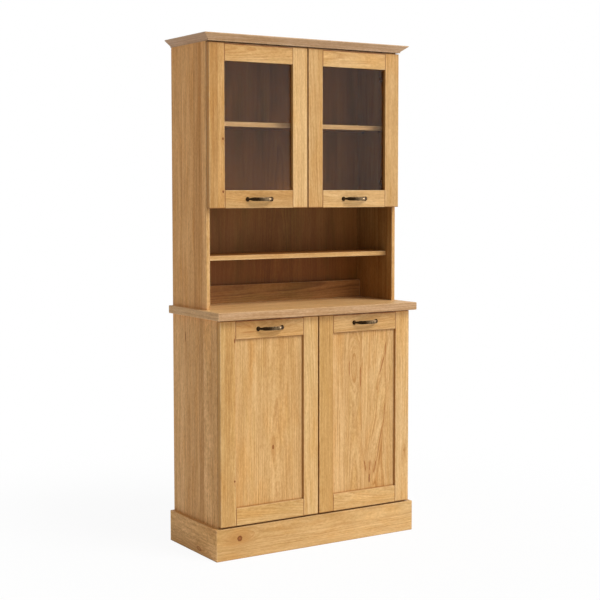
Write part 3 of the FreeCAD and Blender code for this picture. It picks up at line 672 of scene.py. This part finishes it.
@dataclass(frozen=True)
class PineBoard:
    """How one board was cut from its log and waxed.

    The heart of the log lies at heart_across and heart_deep from the middle of the board. A lean of the log
    gives arches on the broad face.
    """

    along: Axis
    across: Axis
    finish: PineFinish = HONEY
    seed: float = 0.0
    heart_across: float = 0.03
    heart_deep: float = 0.09
    lean: float = 0.01
    ring: float = 0.0042
    wander: float = 0.02
    broad: float = 26.0
    tone: float = 0.5
    warmth: Colour = WHITE
    shoulder: float = -1.0
    # foot and head darken the bottom and the top of a board: painted shade.
    foot: float = 0.0
    head_shade: float = 0.0
    grain: float = 1.0
    fine: float = 1.0
    polish: float = 0.22
    nook_shade: float = -1.0
    end_grain: float = 1.0
    figure: float = 1.0
    lipped: bool = False
    fade: Fade | None = None
    rim_low: Colour = WHITE
    rim_high: Colour = WHITE
    inside: Colour = WHITE
    stain_and_shade: StainAndShade = StainAndShade.NONE
    knots: tuple[Knot, ...] = ()
    staves: tuple[Stave, ...] = ()

    def dress(self, node: bpy.types.Object, effects: Effects) -> None:
        """Gives a board its finish.

        Args:
            node: the board's object.
            effects: the shared shader effects.
        """
        low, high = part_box(node.name)
        order = [self.along.value, self.across.value]
        order.append(3 - sum(order))
        middle = [(low[i] + high[i]) / 2 for i in order]
        halves = tuple((high[i] - low[i]) / 2 for i in order)
        material, bench = new_material(f"pine_{node.name}")
        coordinate = bench.signals(bench.node("ShaderNodeTexCoord"))
        place, facing = ([bench.split(coordinate[name])[i] for i in order] for name in ("Object", "Normal"))
        raw = bench.join(*(part - centre for part, centre in zip(place, middle)))
        board, stave, seam, deeper = raw, self.tone, 0.0, 0.0
        if self.staves:
            board, stave, seam, deeper = self._glue_up(bench, raw, middle[1], halves[1])
        ends, rim = abs(facing[0]).step(*END_FACE), abs(facing[1]).step(*RIM_FACE)
        if self.lipped:
            board, rim = self._lip(bench, board, ends), rim.max(ends)
        if self.fade:
            change = place[0].step(self.fade.start, self.fade.end, self.fade.before, 0.0)
            stave = change * facing[2].step(*LOW_FACE) + stave
        spot = {"Core": 0.0, "Halo": 0.0, "Swell": 0.0}
        for knot in self.knots:
            centre = (knot.along - middle[0], knot.across - middle[1], 0.0)
            spot = effects.knot.place_in(bench, {f"{mark} In": value for mark, value in spot.items()}, Place=raw,
                                         Centre=centre, Radius=knot.radius, Stretch=knot.stretch, Slant=knot.slant,
                                         Dark=knot.dark)
        cut = {"Place": board, "Swell": spot["Swell"], "Seed": self.seed}
        rings = effects.rings.place_in(bench, cut, Heart_Across=self.heart_across, Heart_Deep=self.heart_deep,
                                       Lean=self.lean, Deeper=deeper, Ring=self.ring, Wander=self.wander)
        fibre = effects.fibre.place_in(bench, {**cut, **rings}, Broad=self.broad, Fine=self.fine)
        arris = effects.arris.place_in(bench, {}, Place=raw, Half=halves, Inset=self.nook_shade,
                                       Shoulder=self.shoulder, Seed=self.seed)
        marks = {**rings, **fibre, **arris, "Seam": seam, "Halo": spot["Halo"], "Stave": stave, "Rim": rim,
                 # Line also carries the foot's painted shade: a dark line along the bottom of plinths and of the lower
                 # doors' bottom rails.
                 "Line": arris["Line"].max(arris["Foot Shade"] * self.foot),
                 # Core also carries the head's painted shade: a dark band along the top of a board, under the worktop
                 # or cornice.
                 "Core": (arris["Head Shade"] * self.head_shade).max(spot["Core"]), "End": ends * self.end_grain}
        finish = self.finish
        early, late = self._colours(bench, facing[2])
        waxed = effects.waxing.place_in(
            bench, marks, Rim_Colour=bench.mix(facing[1].step(*RIM_SIDES), self.rim_low, self.rim_high),
            Early_Colour=early, Late_Colour=late, Strip_Colour=finish.strip, Blotch_Colour=finish.blotch,
            Knot_Colour=finish.knot, Contrast=finish.contrast * self.figure, Strips=finish.strips, Grain=self.grain)
        shader = bench.surface(WOOD_RELIEF, waxed["Height"], {
            "Base Color": waxed["Color"], "Roughness": waxed["Roughness"], "Specular IOR Level": self.polish})
        bench.node("ShaderNodeOutputMaterial", {0: shader})
        node.data.materials.clear()
        node.data.materials.append(material)

    def _colours(self, bench: Bench, out: Signal) -> list[Value]:
        """Early and late wood's colours, darker on the inside faces, stained and with painted shade.

        Args:
            bench: the material's bench.
            out: how far a face looks out of the board's high side.

        Returns:
            The colours of early and of late wood.
        """
        mine = [turned(colour, self.warmth) for colour in (self.finish.early, self.finish.late)]
        if self.stain_and_shade is StainAndShade.NONE:
            return mine
        side = {StainAndShade.LOW: out * -1.0, StainAndShade.HIGH: out, StainAndShade.BOTH: abs(out)}[self.stain_and_shade].step(*END_FACE)
        return [bench.mix(side, colour, turned(dark, self.inside))
                for colour, dark in zip(mine, (UMBER.early, UMBER.late))]

    def _lip(self, bench: Bench, place: Signal, ends: Signal) -> Signal:
        """Turns the grain across the board on its ends, which have a lipping.

        Args:
            bench: the material's bench.
            place: the place in the board, along, across and deep.
            ends: where the ends are.

        Returns:
            The place, with along and across exchanged on the ends.
        """
        along, across, _ = bench.split(place)
        turn = (across - along) * ends
        return bench.vector("ADD", place, bench.join(turn, turn * -1.0, 0.0))

    def _glue_up(self, bench: Bench, place: Signal, middle: float, half: float) -> tuple[Signal, ...]:
        """Splits the board into its staves.

        Args:
            bench: the material's bench.
            place: the place in the board, along, across and deep.
            middle: the board's middle across the grain.
            half: half its width.

        Returns:
            The place moved into each stave's own log, the stave's tone, the glue lines, and how much deeper its
            heart lies.
        """
        across = bench.split(place)[1]
        ramp = bench.node("ShaderNodeValToRGB", {0: across * (0.5 / half) + 0.5})
        ramp.color_ramp.interpolation = "CONSTANT"
        steps = ramp.color_ramp.elements
        steps.remove(steps[1])
        # A colour can't hold less than nothing, so shift, aside and deeper are kept round a half.
        start, seam = 0.0, None
        for number, stave in enumerate(self.staves):
            element = steps[0] if number == 0 else steps.new(start)
            element.position = start
            aside = self.heart_across - (stave.heart - middle)
            element.color = (stave.tone, 0.5 + stave.shift / SHIFT_SPAN, 0.5 + aside, 0.5 + stave.deeper)
            start = (stave.edge - middle) / (2 * half) + 0.5
            if number < len(self.staves) - 1:
                edge = bench.math("COMPARE", across, stave.edge - middle, GLUE_LINE)
                seam = seam.max(edge) if seam else edge
        tone, shift, aside = bench.signals(bench.node("ShaderNodeSeparateColor", {
            0: Signal(bench, ramp.outputs[0])})).values()
        moved = bench.vector("ADD", place, bench.join((shift - 0.5) * SHIFT_SPAN, aside - 0.5, 0.0))
        return moved, tone, seam, Signal(bench, ramp.outputs[1]) - 0.5


# ---------------------------------------------------------------- metal and glass


# Middle of a handle from the cupboard's middle, and the stretch of its bow that gets a painted highlight, in metres.
HANDLE_ASIDE = 0.20025
PAINTED_HIGHLIGHT_FROM: Span = (-0.020, 0.016)
PAINTED_HIGHLIGHT_TO: Span = (0.041, 0.034)
PROUD_EDGE: Step = (0.5, 0.58, 0.0, 0.25)
# Strength and depth of the relief of metal and of glass.
METAL_RELIEF: Span = (0.12, 0.0002)
GLASS_RELIEF: Span = (0.08, 0.002)


@dataclass(frozen=True)
class Metal:
    """A metal finish: its dark and bare colours, how cloudy it is, and how strongly it is rubbed bare on its sharp
    edges and lit by a painted highlight on the right of its bow.
    """

    name: str
    dark: Colour
    bare: Colour
    cloud: float
    proud: float = 0.0

    def material(self, effects: Effects) -> bpy.types.Material:
        """Makes the finish.

        Args:
            effects: the shared shader effects.

        Returns:
            The material.
        """
        material, bench = new_material(self.name)
        place = bench.read("ShaderNodeTexCoord", "Object")
        proud = 0.0
        if self.proud:
            aside = bench.split(place)[0]
            # A painted highlight on the right part of the bow, over real wear on its sharp edges.
            run = (abs(aside) - HANDLE_ASIDE) * bench.math("SIGN", aside)
            edge = bench.read("ShaderNodeNewGeometry", "Pointiness").step(*PROUD_EDGE)
            proud = (run.step(*PAINTED_HIGHLIGHT_FROM) * run.step(*PAINTED_HIGHLIGHT_TO) + edge) * self.proud
        worn = effects.tarnish.place_in(bench, {}, Place=place, Proud=proud, Scale=self.cloud, Dark_Colour=self.dark,
                                        Bare_Colour=self.bare)
        shader = bench.surface(METAL_RELIEF, worn["Height"], {
            "Base Color": worn["Color"], "Roughness": worn["Roughness"], "Metallic": 1.0})
        bench.node("ShaderNodeOutputMaterial", {0: shader})
        return material


# The bronze's bare colour is also its painted highlight.
BRONZE = Metal("antique_bronze", dark=tint(44, 29, 14), bare=tint(128, 106, 78), cloud=150.0, proud=0.85)
NICKEL = Metal("nickel_steel", dark=tint(176, 170, 158), bare=tint(206, 200, 188), cloud=60.0)


@dataclass(frozen=True)
class PaneGlass:
    """Window glass with a faint grey cast and a thin film of dust."""

    cast: Colour = tint(236, 232, 224)
    film: Colour = tint(222, 214, 200)
    lamp_cast: Colour = (0.62, 0.58, 0.52)
    roughness: float = 0.02
    bending: float = 1.3
    film_cells: Cells = (6.0, 6.0, 2.2)
    wave_cells: Cells = (11.0, 11.0, 3.0)
    film_step: Span = (0.3, 0.8)

    def material(self) -> bpy.types.Material:
        """Makes the glass; lamps shine through it.

        Returns:
            The material.
        """
        material, bench = new_material("pane_glass")
        place = bench.read("ShaderNodeTexCoord", "Object")
        film = bench.noise(place, self.film_cells, seed=4.0, detail=3.0, rough=0.6)
        wave = bench.noise(place, self.wave_cells, seed=8.0, detail=1.0)
        shader = bench.surface(GLASS_RELIEF, wave, {
            "Base Color": bench.mix(film.step(*self.film_step), self.cast, self.film), "Roughness": self.roughness,
            "IOR": self.bending, "Transmission Weight": 1.0})
        clear = bench.read("ShaderNodeBsdfTransparent", 0, {0: self.lamp_cast})
        lamps = bench.read("ShaderNodeLightPath", "Is Shadow Ray")
        bench.node("ShaderNodeOutputMaterial", {0: bench.blend(lamps, shader, clear)})
        return material


# ---------------------------------------------------------------- pieces


def dress_nodes(boards: dict[str, PineBoard], effects: Effects) -> None:
    """Gives several boards their finish and reports each.

    Args:
        boards: the board of each CAD node, by the node's name.
        effects: the shared shader effects.
    """
    for name, board in boards.items():
        board.dress(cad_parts[name], effects)
        LOG.info("%s waxed", name)


def dress_plain(name: str, material: bpy.types.Material) -> None:
    """Gives a node one material.

    Args:
        name: the CAD node.
        material: its finish.
    """
    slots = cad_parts[name].data.materials
    slots.clear()
    slots.append(material)
    LOG.info("%s finished", name)


@dataclass
class Carcass:
    """Plinth, base, worktop, hutch and cornice, which stand still."""

    effects: Effects
    base_staves: tuple[Stave, ...] = (
        Stave(-0.103, 0.49, 0.2, -0.22), Stave(-0.045, 0.62, 0.9, -0.075, -0.05), Stave(-0.014, 0.28, -0.6, -0.19),
        Stave(0.080, 0.50, 1.4, 0.24), Stave(0.19, 0.68, -1.1, -0.05))
    hutch_staves: tuple[Stave, ...] = (
        Stave(-0.040, 0.56, 0.6, 0.16), Stave(0.017, 0.22, -0.9, 0.24), Stave(0.110, 0.46, 0.3, -0.18),
        Stave(0.19, 0.40, 1.2, 0.02))
    right_warmth: Colour = (1.0, 0.99, 0.97)

    def build(self) -> None:
        """Dresses every board of the carcass, and its pins and hinge arms."""
        dress_nodes(self._base() | self._hutch(), self.effects)
        steel = NICKEL.material(self.effects)
        for name in ("shelf_pins", "hinge_arms"):
            dress_plain(name, steel)

    def _base(self) -> dict[str, PineBoard]:
        """Plans the plinth, the base and the worktop.

        Returns:
            The boards by their names.
        """
        wide, deep, high = Axis
        plinth = PineBoard(deep, high, foot=0.8, grain=1.3, polish=0.1, warmth=self.right_warmth, figure=0.6)
        side = PineBoard(high, deep, warmth=self.right_warmth, polish=0.1, grain=1.3, fine=0.6,
                         staves=self.base_staves)
        return {
            "plinth_front": PineBoard(wide, high, seed=1.3, heart_deep=0.05, lean=0.02, wander=0.05, broad=18.0,
                                      foot=0.7, grain=0.9, tone=0.57, warmth=(1.0, 1.04, 1.08),
                                      fade=Fade(-0.35, 0.40, -0.24), knots=(Knot(-0.325, 0.071, 0.0098, 1.0),)),
            # Warmer on the left: painted shade colour of the side away from the lamps.
            "plinth_left": replace(plinth, seed=2.9, wander=0.025, grain=1.6, warmth=(1.10, 1.02, 0.96),
                                   knots=(Knot(-0.034, 0.019, 0.0075, 2.4, 0.36, 0.15),)),
            "plinth_right": replace(plinth, seed=4.1, heart_deep=0.08, lean=-0.01, wander=0.03),
            # Warmer on the left: painted shade colour of the side away from the lamps.
            "base_side_left": replace(side, seed=5.7, warmth=(1.06, 0.965, 0.92), grain=1.5,
                                      knots=(Knot(0.752, 0.0888, 0.0030, 8.0, 0.95),)),
            "base_side_right": replace(side, seed=7.2),
            "base_floor": PineBoard(wide, deep, seed=8.8, finish=UMBER),
            "base_back": PineBoard(high, wide, seed=9.4, finish=UMBER),
            # The front stretcher is darker: painted shade in the gap under the worktop.
            "front_stretcher": PineBoard(wide, high, seed=10.6, finish=UMBER),
            "rear_stretcher": PineBoard(wide, high, seed=11.9),
            "base_shelf": PineBoard(wide, deep, seed=12.3),
            "worktop": PineBoard(wide, deep, seed=13.7, finish=TAWNY, heart_deep=0.12, wander=0.03, tone=0.79,
                                 grain=1.3, warmth=(1.075, 0.99, 0.815), rim_low=(0.70, 0.70, 0.84), end_grain=0.0,
                                 lipped=True),
        }

    def _hutch(self) -> dict[str, PineBoard]:
        """Plans the hutch and the cornice.

        Returns:
            The boards by their names.
        """
        wide, deep, high = Axis
        side = PineBoard(high, deep, polish=0.1, grain=1.3, fine=0.6, staves=self.hutch_staves,
                         inside=(1.08, 1.35, 1.7))
        cornice = PineBoard(deep, high, finish=TAWNY, warmth=(0.92, 1.0, 1.42))
        return {
            # Warmer on the left: painted shade colour of the side away from the lamps.
            "hutch_side_left": replace(side, seed=15.1, warmth=(1.10, 0.965, 0.865), stain_and_shade=StainAndShade.HIGH,
                                       rim_low=(0.88, 0.96, 1.02)),
            "hutch_side_right": replace(side, seed=16.4, warmth=self.right_warmth, stain_and_shade=StainAndShade.LOW,
                                        rim_low=(0.968, 0.936, 0.91)),
            "hutch_top": PineBoard(wide, deep, seed=17.8),
            "hutch_deck": PineBoard(wide, deep, seed=18.2, finish=UMBER),
            "niche_shelf": PineBoard(wide, deep, seed=19.6, stain_and_shade=StainAndShade.BOTH, tone=0.6),
            # The back is darker below the niche shelf: painted shadow of the shelf.
            "hutch_back": PineBoard(high, wide, seed=21.3, finish=UMBER, heart_deep=0.12, broad=12.0, tone=0.60,
                                    figure=0.55, grain=0.85, fade=Fade(1.0275, 1.0395, -0.34)),
            "back_rail": PineBoard(wide, high, seed=22.7, finish=UMBER, tone=1.0, warmth=(1.0, 1.04, 1.15)),
            "display_shelf": PineBoard(wide, deep, seed=23.9, finish=TAWNY, stain_and_shade=StainAndShade.BOTH, tone=0.72,
                                       rim_low=(1.08, 1.12, 1.2)),
            "cornice_front": PineBoard(wide, high, seed=25.2, finish=TAWNY, tone=0.60, warmth=(1.04, 1.12, 1.44)),
            "cornice_left": replace(cornice, seed=26.8, tone=0.24),
            "cornice_right": replace(cornice, seed=27.4, tone=0.3),
            "hutch_dowels": PineBoard(high, wide, seed=28.9, finish=BEECH, ring=0.0015),
        }


@dataclass
class BowHandle:
    """A cast bow handle: a bow that flares in the middle, between two small turned feet. Sizes in metres.

    The bow leaves the feet at the height spring and rises to reach, the more squarely the higher arch is. It is waist
    high at the feet and flare high up to the share flare_run of the way to them, and flare_end says how suddenly that
    ends. A foot's profile gives its radius as a share of foot_radius, and the distance from the door.
    """

    sides: int = 20
    rows: int = 48
    foot_sides: int = 28
    foot_span: float = 0.048
    foot_radius: float = 0.0080
    reach: float = 0.022
    spring: float = 0.0075
    arch: float = 3.2
    waist: float = 0.0034
    flare: float = 0.0067
    flare_run: float = 0.84
    flare_end: int = 9
    thickness: float = 0.0018
    swell: float = 0.35
    roundness: float = 0.7
    profile: tuple[Span, ...] = (
        (0.97, 0.0), (1.0, 0.0004), (1.0, 0.0012), (0.95, 0.0017), (0.84, 0.0019), (0.79, 0.0022), (0.78, 0.0030),
        (0.74, 0.0041), (0.64, 0.0053), (0.48, 0.0062), (0.28, 0.0067), (0.08, 0.0069))

    def build(self, door: str, material: bpy.types.Material) -> None:
        """Makes the handle of one door in place of its plain solid.

        Args:
            door: the door, such as upper_left.
            material: the metal's finish.
        """
        node = f"{door}_handle"
        low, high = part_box(node)
        mesh = bmesh.new()
        self._bow(mesh)
        for side in (-1, 1):
            self._foot(mesh, side)
        place = Vector(((low.x + high.x) / 2, high.y, (low.z + high.z) / 2))
        bmesh.ops.translate(mesh, vec=place, verts=mesh.verts)
        bmesh.ops.recalc_face_normals(mesh, faces=mesh.faces)
        for face in mesh.faces:
            face.smooth = True
        handle = add_mesh(f"{door}_bow_handle", mesh, material)
        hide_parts(node)
        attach(handle, f"{door}_door")
        LOG.info("%s built", handle.name)

    def _bow(self, mesh: bmesh.types.BMesh) -> None:
        """Sweeps the bow between the feet.

        Args:
            mesh: the mesh it goes into.
        """
        rise = self.reach - self.spring
        loops = []
        for row in range(self.rows + 1):
            share = -1 + 2 * row / self.rows
            run = abs(share)
            out = self.reach - self.thickness - rise * run ** self.arch
            height = self.waist + (self.flare - self.waist) * math.exp(-((run / self.flare_run) ** self.flare_end))
            thick = self.thickness * (1.0 + self.swell * run ** 4)
            slope = -rise * self.arch * run ** (self.arch - 1) * (1 if share > 0 else -1) / self.foot_span
            tangent = Vector((1, -slope, 0)).normalized()
            outward = Vector((tangent.y, -tangent.x, 0))
            centre = Vector((share * self.foot_span, -out, 0))
            loop = []
            for step in range(self.sides):
                angle = 2 * math.pi * step / self.sides
                side, up = (math.copysign(abs(part) ** self.roundness, part)
                            for part in (math.cos(angle), math.sin(angle)))
                loop.append(mesh.verts.new(centre + outward * side * thick + Vector((0, 0, up * height))))
            loops.append(loop)
        self._skin(mesh, loops)

    def _foot(self, mesh: bmesh.types.BMesh, side: int) -> None:
        """Turns one foot: a rim on the door under a dome, with a groove between them.

        Args:
            mesh: the mesh it goes into.
            side: -1 for the left foot, 1 for the right one.
        """
        loops = []
        for share, out in self.profile:
            radius, loop = self.foot_radius * share, []
            for step in range(self.foot_sides):
                angle = 2 * math.pi * step / self.foot_sides
                loop.append(mesh.verts.new((side * self.foot_span + radius * math.cos(angle), -out,
                                            radius * math.sin(angle))))
            loops.append(loop)
        self._skin(mesh, loops)

    @staticmethod
    def _skin(mesh: bmesh.types.BMesh, loops: list[list[bmesh.types.BMVert]]) -> None:
        """Skins a row of loops and closes both ends.

        Args:
            mesh: the mesh they are in.
            loops: the loops, in order, with the same number of points each.
        """
        for first, second in zip(loops, loops[1:]):
            for step in range(len(first)):
                after = (step + 1) % len(first)
                mesh.faces.new((first[step], first[after], second[after], second[step]))
        mesh.faces.new(loops[0][::-1])
        mesh.faces.new(loops[-1])


def add_mesh(name: str, mesh: bmesh.types.BMesh, material: bpy.types.Material) -> bpy.types.Object:
    """Puts a finished mesh into the scene.

    Args:
        name: the object's name.
        mesh: its mesh, which is freed.
        material: its finish.

    Returns:
        The new object.
    """
    data = bpy.data.meshes.new(name)
    mesh.to_mesh(data)
    mesh.free()
    data.materials.append(material)
    made = bpy.data.objects.new(name, data)
    bpy.context.scene.collection.objects.link(made)
    return made


@dataclass
class Door:
    """One door: its frame, its panel or pane, its handle and its hinges.

    Own gives what is special about some of its boards. The seeds of the boards are added to the door's seed.
    """

    name: str
    seed: float
    effects: Effects
    own: Own
    # Painted shade on the frame's narrow edges: the outer edge, the reveal by the panel or pane, and the gap between
    # the doors and under what is above them.
    outer_edge_shade: Colour = (0.95, 0.82, 0.60)
    reveal_shade: Colour = (0.74, 0.59, 0.42)
    gap: Colour = (0.66, 0.50, 0.32)

    @property
    def glazed(self) -> bool:
        """Whether the door holds a pane."""
        return self.name.startswith("upper")

    def build(self, metal: bpy.types.Material, steel: bpy.types.Material, pane: bpy.types.Material) -> None:
        """Dresses the door and hangs its handle.

        Args:
            metal: the handle's finish.
            steel: the hinges' finish.
            pane: the glass.
        """
        boards = self._frame()
        if self.glazed:
            boards["beads"] = PineBoard(Axis.HEIGHT, Axis.WIDTH, seed=6.3, ring=0.003, finish=UMBER)
            dress_plain(f"{self.name}_glass", pane)
        else:
            boards["panel"] = self._panel()
        dress_nodes({f"{self.name}_{part}": replace(board, seed=self.seed + board.seed, **self.own.get(part, {}))
                     for part, board in boards.items()}, self.effects)
        for part in ("hinge_cups", "hinge_links"):
            dress_plain(f"{self.name}_{part}", steel)
        BowHandle().build(self.name, metal)

    def _frame(self) -> dict[str, PineBoard]:
        """Plans the stiles and rails.

        Returns:
            The boards by their names, before what is special about this door.
        """
        # Stiles' end faces are twice as dark: end grain, and painted shade in the gaps above and below the door.
        stile = PineBoard(Axis.HEIGHT, Axis.WIDTH, broad=42.0, end_grain=2.0, shoulder=0.0)
        rail = PineBoard(Axis.WIDTH, Axis.HEIGHT, broad=30.0, shoulder=0.025)
        boards = {
            "stile_outer": replace(stile, heart_across=0.06, heart_deep=0.08, ring=0.0036, grain=1.1,
                                   rim_low=self.outer_edge_shade, rim_high=self.reveal_shade),
            "stile_inner": replace(stile, seed=1.7, heart_across=-0.05, ring=0.0038, grain=0.9, rim_low=self.reveal_shade,
                                   rim_high=self.gap),
        }
        if self.name.endswith("right"):
            boards = {part: replace(board, rim_low=board.rim_high, rim_high=board.rim_low)
                      for part, board in boards.items()}
        # The top rail gets painted shade at its head and on its top edge, under the worktop or cornice.
        top = replace(rail, seed=3.1, heart_deep=0.045, lean=0.03, wander=0.04, head_shade=1.0, rim_high=self.gap)
        foot = replace(rail, seed=4.9, heart_deep=0.04, lean=-0.04, wander=0.05, foot=0.8)
        if self.glazed:
            top, foot = replace(top, heart_across=0.012, wander=0.022, figure=1.2), replace(foot, foot=0.0)
        return boards | {"top_rail": top, "bottom_rail": foot}

    def _panel(self) -> PineBoard:
        """Plans the panel, with painted shade where it meets the frame.

        Returns:
            The board, before what is special about this door.
        """
        left = self.name.endswith("left")
        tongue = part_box(f"{self.name}_stile_inner")[0 if left else 1].x
        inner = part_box(f"{self.name}_panel")[1 if left else 0].x
        return PineBoard(Axis.HEIGHT, Axis.WIDTH, seed=6.3, heart_deep=0.07, lean=0.008, wander=0.012, ring=0.0048,
                         grain=1.1, figure=0.8, nook_shade=abs(tongue - inner))


# ---------------------------------------------------------------- studio


@dataclass(frozen=True)
class Lamp:
    """A wide far lamp: its direction from the cupboard, its watts to the square metre and its width in degrees."""

    name: str
    towards: tuple[float, float, float]
    strength: float
    spread: float

    def hang(self) -> None:
        """Hangs the lamp in the scene."""
        data = bpy.data.lights.new(self.name, "SUN")
        data.energy, data.angle = self.strength, math.radians(self.spread)
        lamp = bpy.data.objects.new(self.name, data)
        lamp.rotation_euler = Vector(self.towards).to_track_quat("Z", "Y").to_euler()
        bpy.context.scene.collection.objects.link(lamp)


@dataclass
class Studio:
    """A pale floor, an even white surround, soft lamps and the camera. Places in metres, angles in radians."""

    lamps: tuple[Lamp, ...] = (Lamp("key_lamp", (0.33, -0.62, 0.71), 2.1, 30.0),
                               Lamp("side_lamp", (0.94, -0.36, 0.05), 0.85, 12.0))
    floor_size: float = 60.0
    floor_tones: tuple[Colour, Colour] = ((0.93, 0.93, 0.93), (0.96, 0.96, 0.96))
    floor_cells: Cells = (40.0, 40.0, 40.0)
    floor_fade: Step = (0.7, 2.0, 0.93, 1.0)
    fill: float = 0.37
    eye: tuple[float, float, float] = (-2.53001, -4.05801, 1.26684)
    yaw: float = 0.56179
    pitch: float = 0.06904
    roll: float = -0.00063
    lens: float = 79.0007
    sensor: float = 36.0
    shift: float = -0.03

    def build(self) -> None:
        """Sets up everything round the cupboard."""
        self._floor()
        self._surround()
        for lamp in self.lamps:
            lamp.hang()
        self._camera()
        settings = bpy.context.scene.view_settings
        settings.view_transform = "Standard"
        LOG.info("studio set up")

    def _floor(self) -> None:
        """Lays the floor, which fades into the white surround away from the cupboard."""
        mesh = bmesh.new()
        bmesh.ops.create_grid(mesh, x_segments=2, y_segments=2, size=self.floor_size / 2)
        material, bench = new_material("studio_floor")
        place = bench.read("ShaderNodeTexCoord", "Object")
        grain = bench.noise(place, self.floor_cells, seed=2.0, detail=3.0)
        shader = bench.read("ShaderNodeBsdfPrincipled", 0, {
            "Base Color": bench.mix(grain, *self.floor_tones), "Roughness": 0.9, "Specular IOR Level": 0.0})
        white = bench.read("ShaderNodeEmission", 0, {0: WHITE, 1: 1.0})
        share = bench.seen() * bench.vector("LENGTH", place).step(*self.floor_fade)
        bench.node("ShaderNodeOutputMaterial", {0: bench.blend(share, shader, white)})
        floor = add_mesh("floor", mesh, material)

    def _surround(self) -> None:
        """White where it is seen or mirrored, and a low even light everywhere else."""
        world = bpy.data.worlds.new("surround")
        bpy.context.scene.world = world
        world.use_nodes = True
        bench = Bench(world.node_tree)
        strength = bench.seen() * (1.0 - self.fill) + self.fill
        bench.node("ShaderNodeOutputWorld", {0: bench.read("ShaderNodeBackground", 0, {0: WHITE, 1: strength})})

    def _camera(self) -> None:
        """Stands the camera to the front and left of the cupboard, a little above its worktop."""
        ahead = Vector((math.sin(self.yaw) * math.cos(self.pitch), math.cos(self.yaw) * math.cos(self.pitch),
                        -math.sin(self.pitch)))
        level = Vector((math.cos(self.yaw), -math.sin(self.yaw), 0))
        upright = level.cross(ahead)
        right = level * math.cos(self.roll) + upright * math.sin(self.roll)
        up = upright * math.cos(self.roll) - level * math.sin(self.roll)
        data = bpy.data.cameras.new("camera")
        data.lens, data.shift_y, data.sensor_width = self.lens, self.shift, self.sensor
        camera = bpy.data.objects.new("camera", data)
        camera.matrix_world = Matrix.Translation(self.eye) @ Matrix((right, up, -ahead)).transposed().to_4x4()
        bpy.context.scene.collection.objects.link(camera)
        bpy.context.scene.camera = camera


# ---------------------------------------------------------------- the cupboard


PANEL_STAVES = (Stave(0.117, 0.60, 0.3, -0.10), Stave(0.192, 0.46, 0.0, 0.158, -0.03),
                Stave(0.300, 0.52, -0.7, 0.285, -0.01), Stave(0.338, 0.60, 0.6, 0.20))
STILE_STRIPS = (Stave(-0.3655, 0.17, 0.0, -0.30), Stave(-0.3375, 0.44, 0.4, -0.30))
LOWER_LEFT: Own = {
    "stile_outer": {"tone": 0.45, "warmth": (1.01, 1.05, 1.06),
                    "knots": (Knot(0.272, -0.3432, 0.0038, 1.2), Knot(0.757, -0.3413, 0.0034, 3.0))},
    "stile_inner": {"tone": 0.57, "warmth": (1.0, 1.03, 1.05)},
    "panel": {"tone": 0.46, "knots": (Knot(0.3735, -0.184, 0.0036, 2.2, 0.9),)},
    "top_rail": {"tone": 0.36, "knots": (
        Knot(-0.3010, 0.8110, 0.0046, 7.0, 0.2, -0.42), Knot(-0.2850, 0.7842, 0.0034, 12.0, 0.24, 0.044),
        Knot(-0.2960, 0.8080, 0.0130, 2.6, 0.06))},
    "bottom_rail": {"warmth": (0.99, 1.03, 1.03), "knots": (Knot(0.134, -0.2908, 0.0038, 1.3),)},
}
LOWER_RIGHT: Own = {
    "stile_outer": {"tone": 0.60, "warmth": (1.01, 1.04, 1.09),
                    "knots": (Knot(0.305, 0.378, 0.0028, 3.0, 0.6), Knot(0.285, 0.370, 0.0024, 3.0, 0.5))},
    "stile_inner": {"tone": 0.23, "warmth": (1.0, 0.98, 0.86)},
    "panel": {"lean": 0.03, "wander": 0.02, "figure": 1.9, "staves": PANEL_STAVES, "knots": (
        Knot(0.215, 0.2268, 0.0028, 5.9, 0.95), Knot(0.264, 0.2075, 0.0030, 7.0, 0.42, -0.20),
        Knot(0.262, 0.2290, 0.0030, 6.5, 0.40, 0.12), Knot(0.256, 0.2515, 0.0030, 8.0, 0.44, 0.26),
        Knot(0.252, 0.2300, 0.0140, 2.0, 0.12), Knot(0.627, 0.1383, 0.0026, 11.0, 0.34),
        Knot(0.594, 0.1865, 0.0028, 14.0, 0.42), Knot(0.640, 0.1600, 0.0110, 1.5, 0.0),
        Knot(0.686, 0.2975, 0.0024, 11.0, 0.42, 0.08), Knot(0.630, 0.2822, 0.0026, 13.0, 0.48, 0.30),
        Knot(0.450, 0.2935, 0.0020, 22.0, 0.38, 0.09), Knot(0.350, 0.2740, 0.0021, 30.0, 0.38, 0.19))},
    "top_rail": {"tone": 0.44},
    "bottom_rail": {"warmth": (1.03, 1.06, 1.07), "knots": (Knot(0.134, 0.1096, 0.0038, 1.2),)},
}
UPPER_LEFT: Own = {
    "stile_outer": {"staves": STILE_STRIPS,
                    "knots": (Knot(1.4448, -0.3447, 0.0042, 1.2), Knot(1.2644, -0.3447, 0.0042, 1.2))},
    "stile_inner": {"tone": 0.60},
    "top_rail": {"tone": 0.53},
    "bottom_rail": {"tone": 0.32},
}
UPPER_RIGHT: Own = {"stile_outer": {"tone": 0.42}, "stile_inner": {"tone": 0.42}, "top_rail": {"tone": 0.60},
                    "bottom_rail": {"tone": 0.52}}


def main() -> None:
    """Builds and dresses the cupboard, piece by piece, and sets up the studio."""
    effects = Effects()
    Studio().build()
    Carcass(effects).build()
    bronze, steel, pane = BRONZE.material(effects), NICKEL.material(effects), PaneGlass().material()
    for name, seed, own in (("lower_left", 31.4, LOWER_LEFT), ("lower_right", 47.9, LOWER_RIGHT),
                            ("upper_left", 63.2, UPPER_LEFT), ("upper_right", 79.5, UPPER_RIGHT)):
        Door(name, seed, effects, own).build(bronze, steel, pane)


if __name__ == "__main__":
    logging.basicConfig(level=logging.INFO, format="%(message)s")
    main()
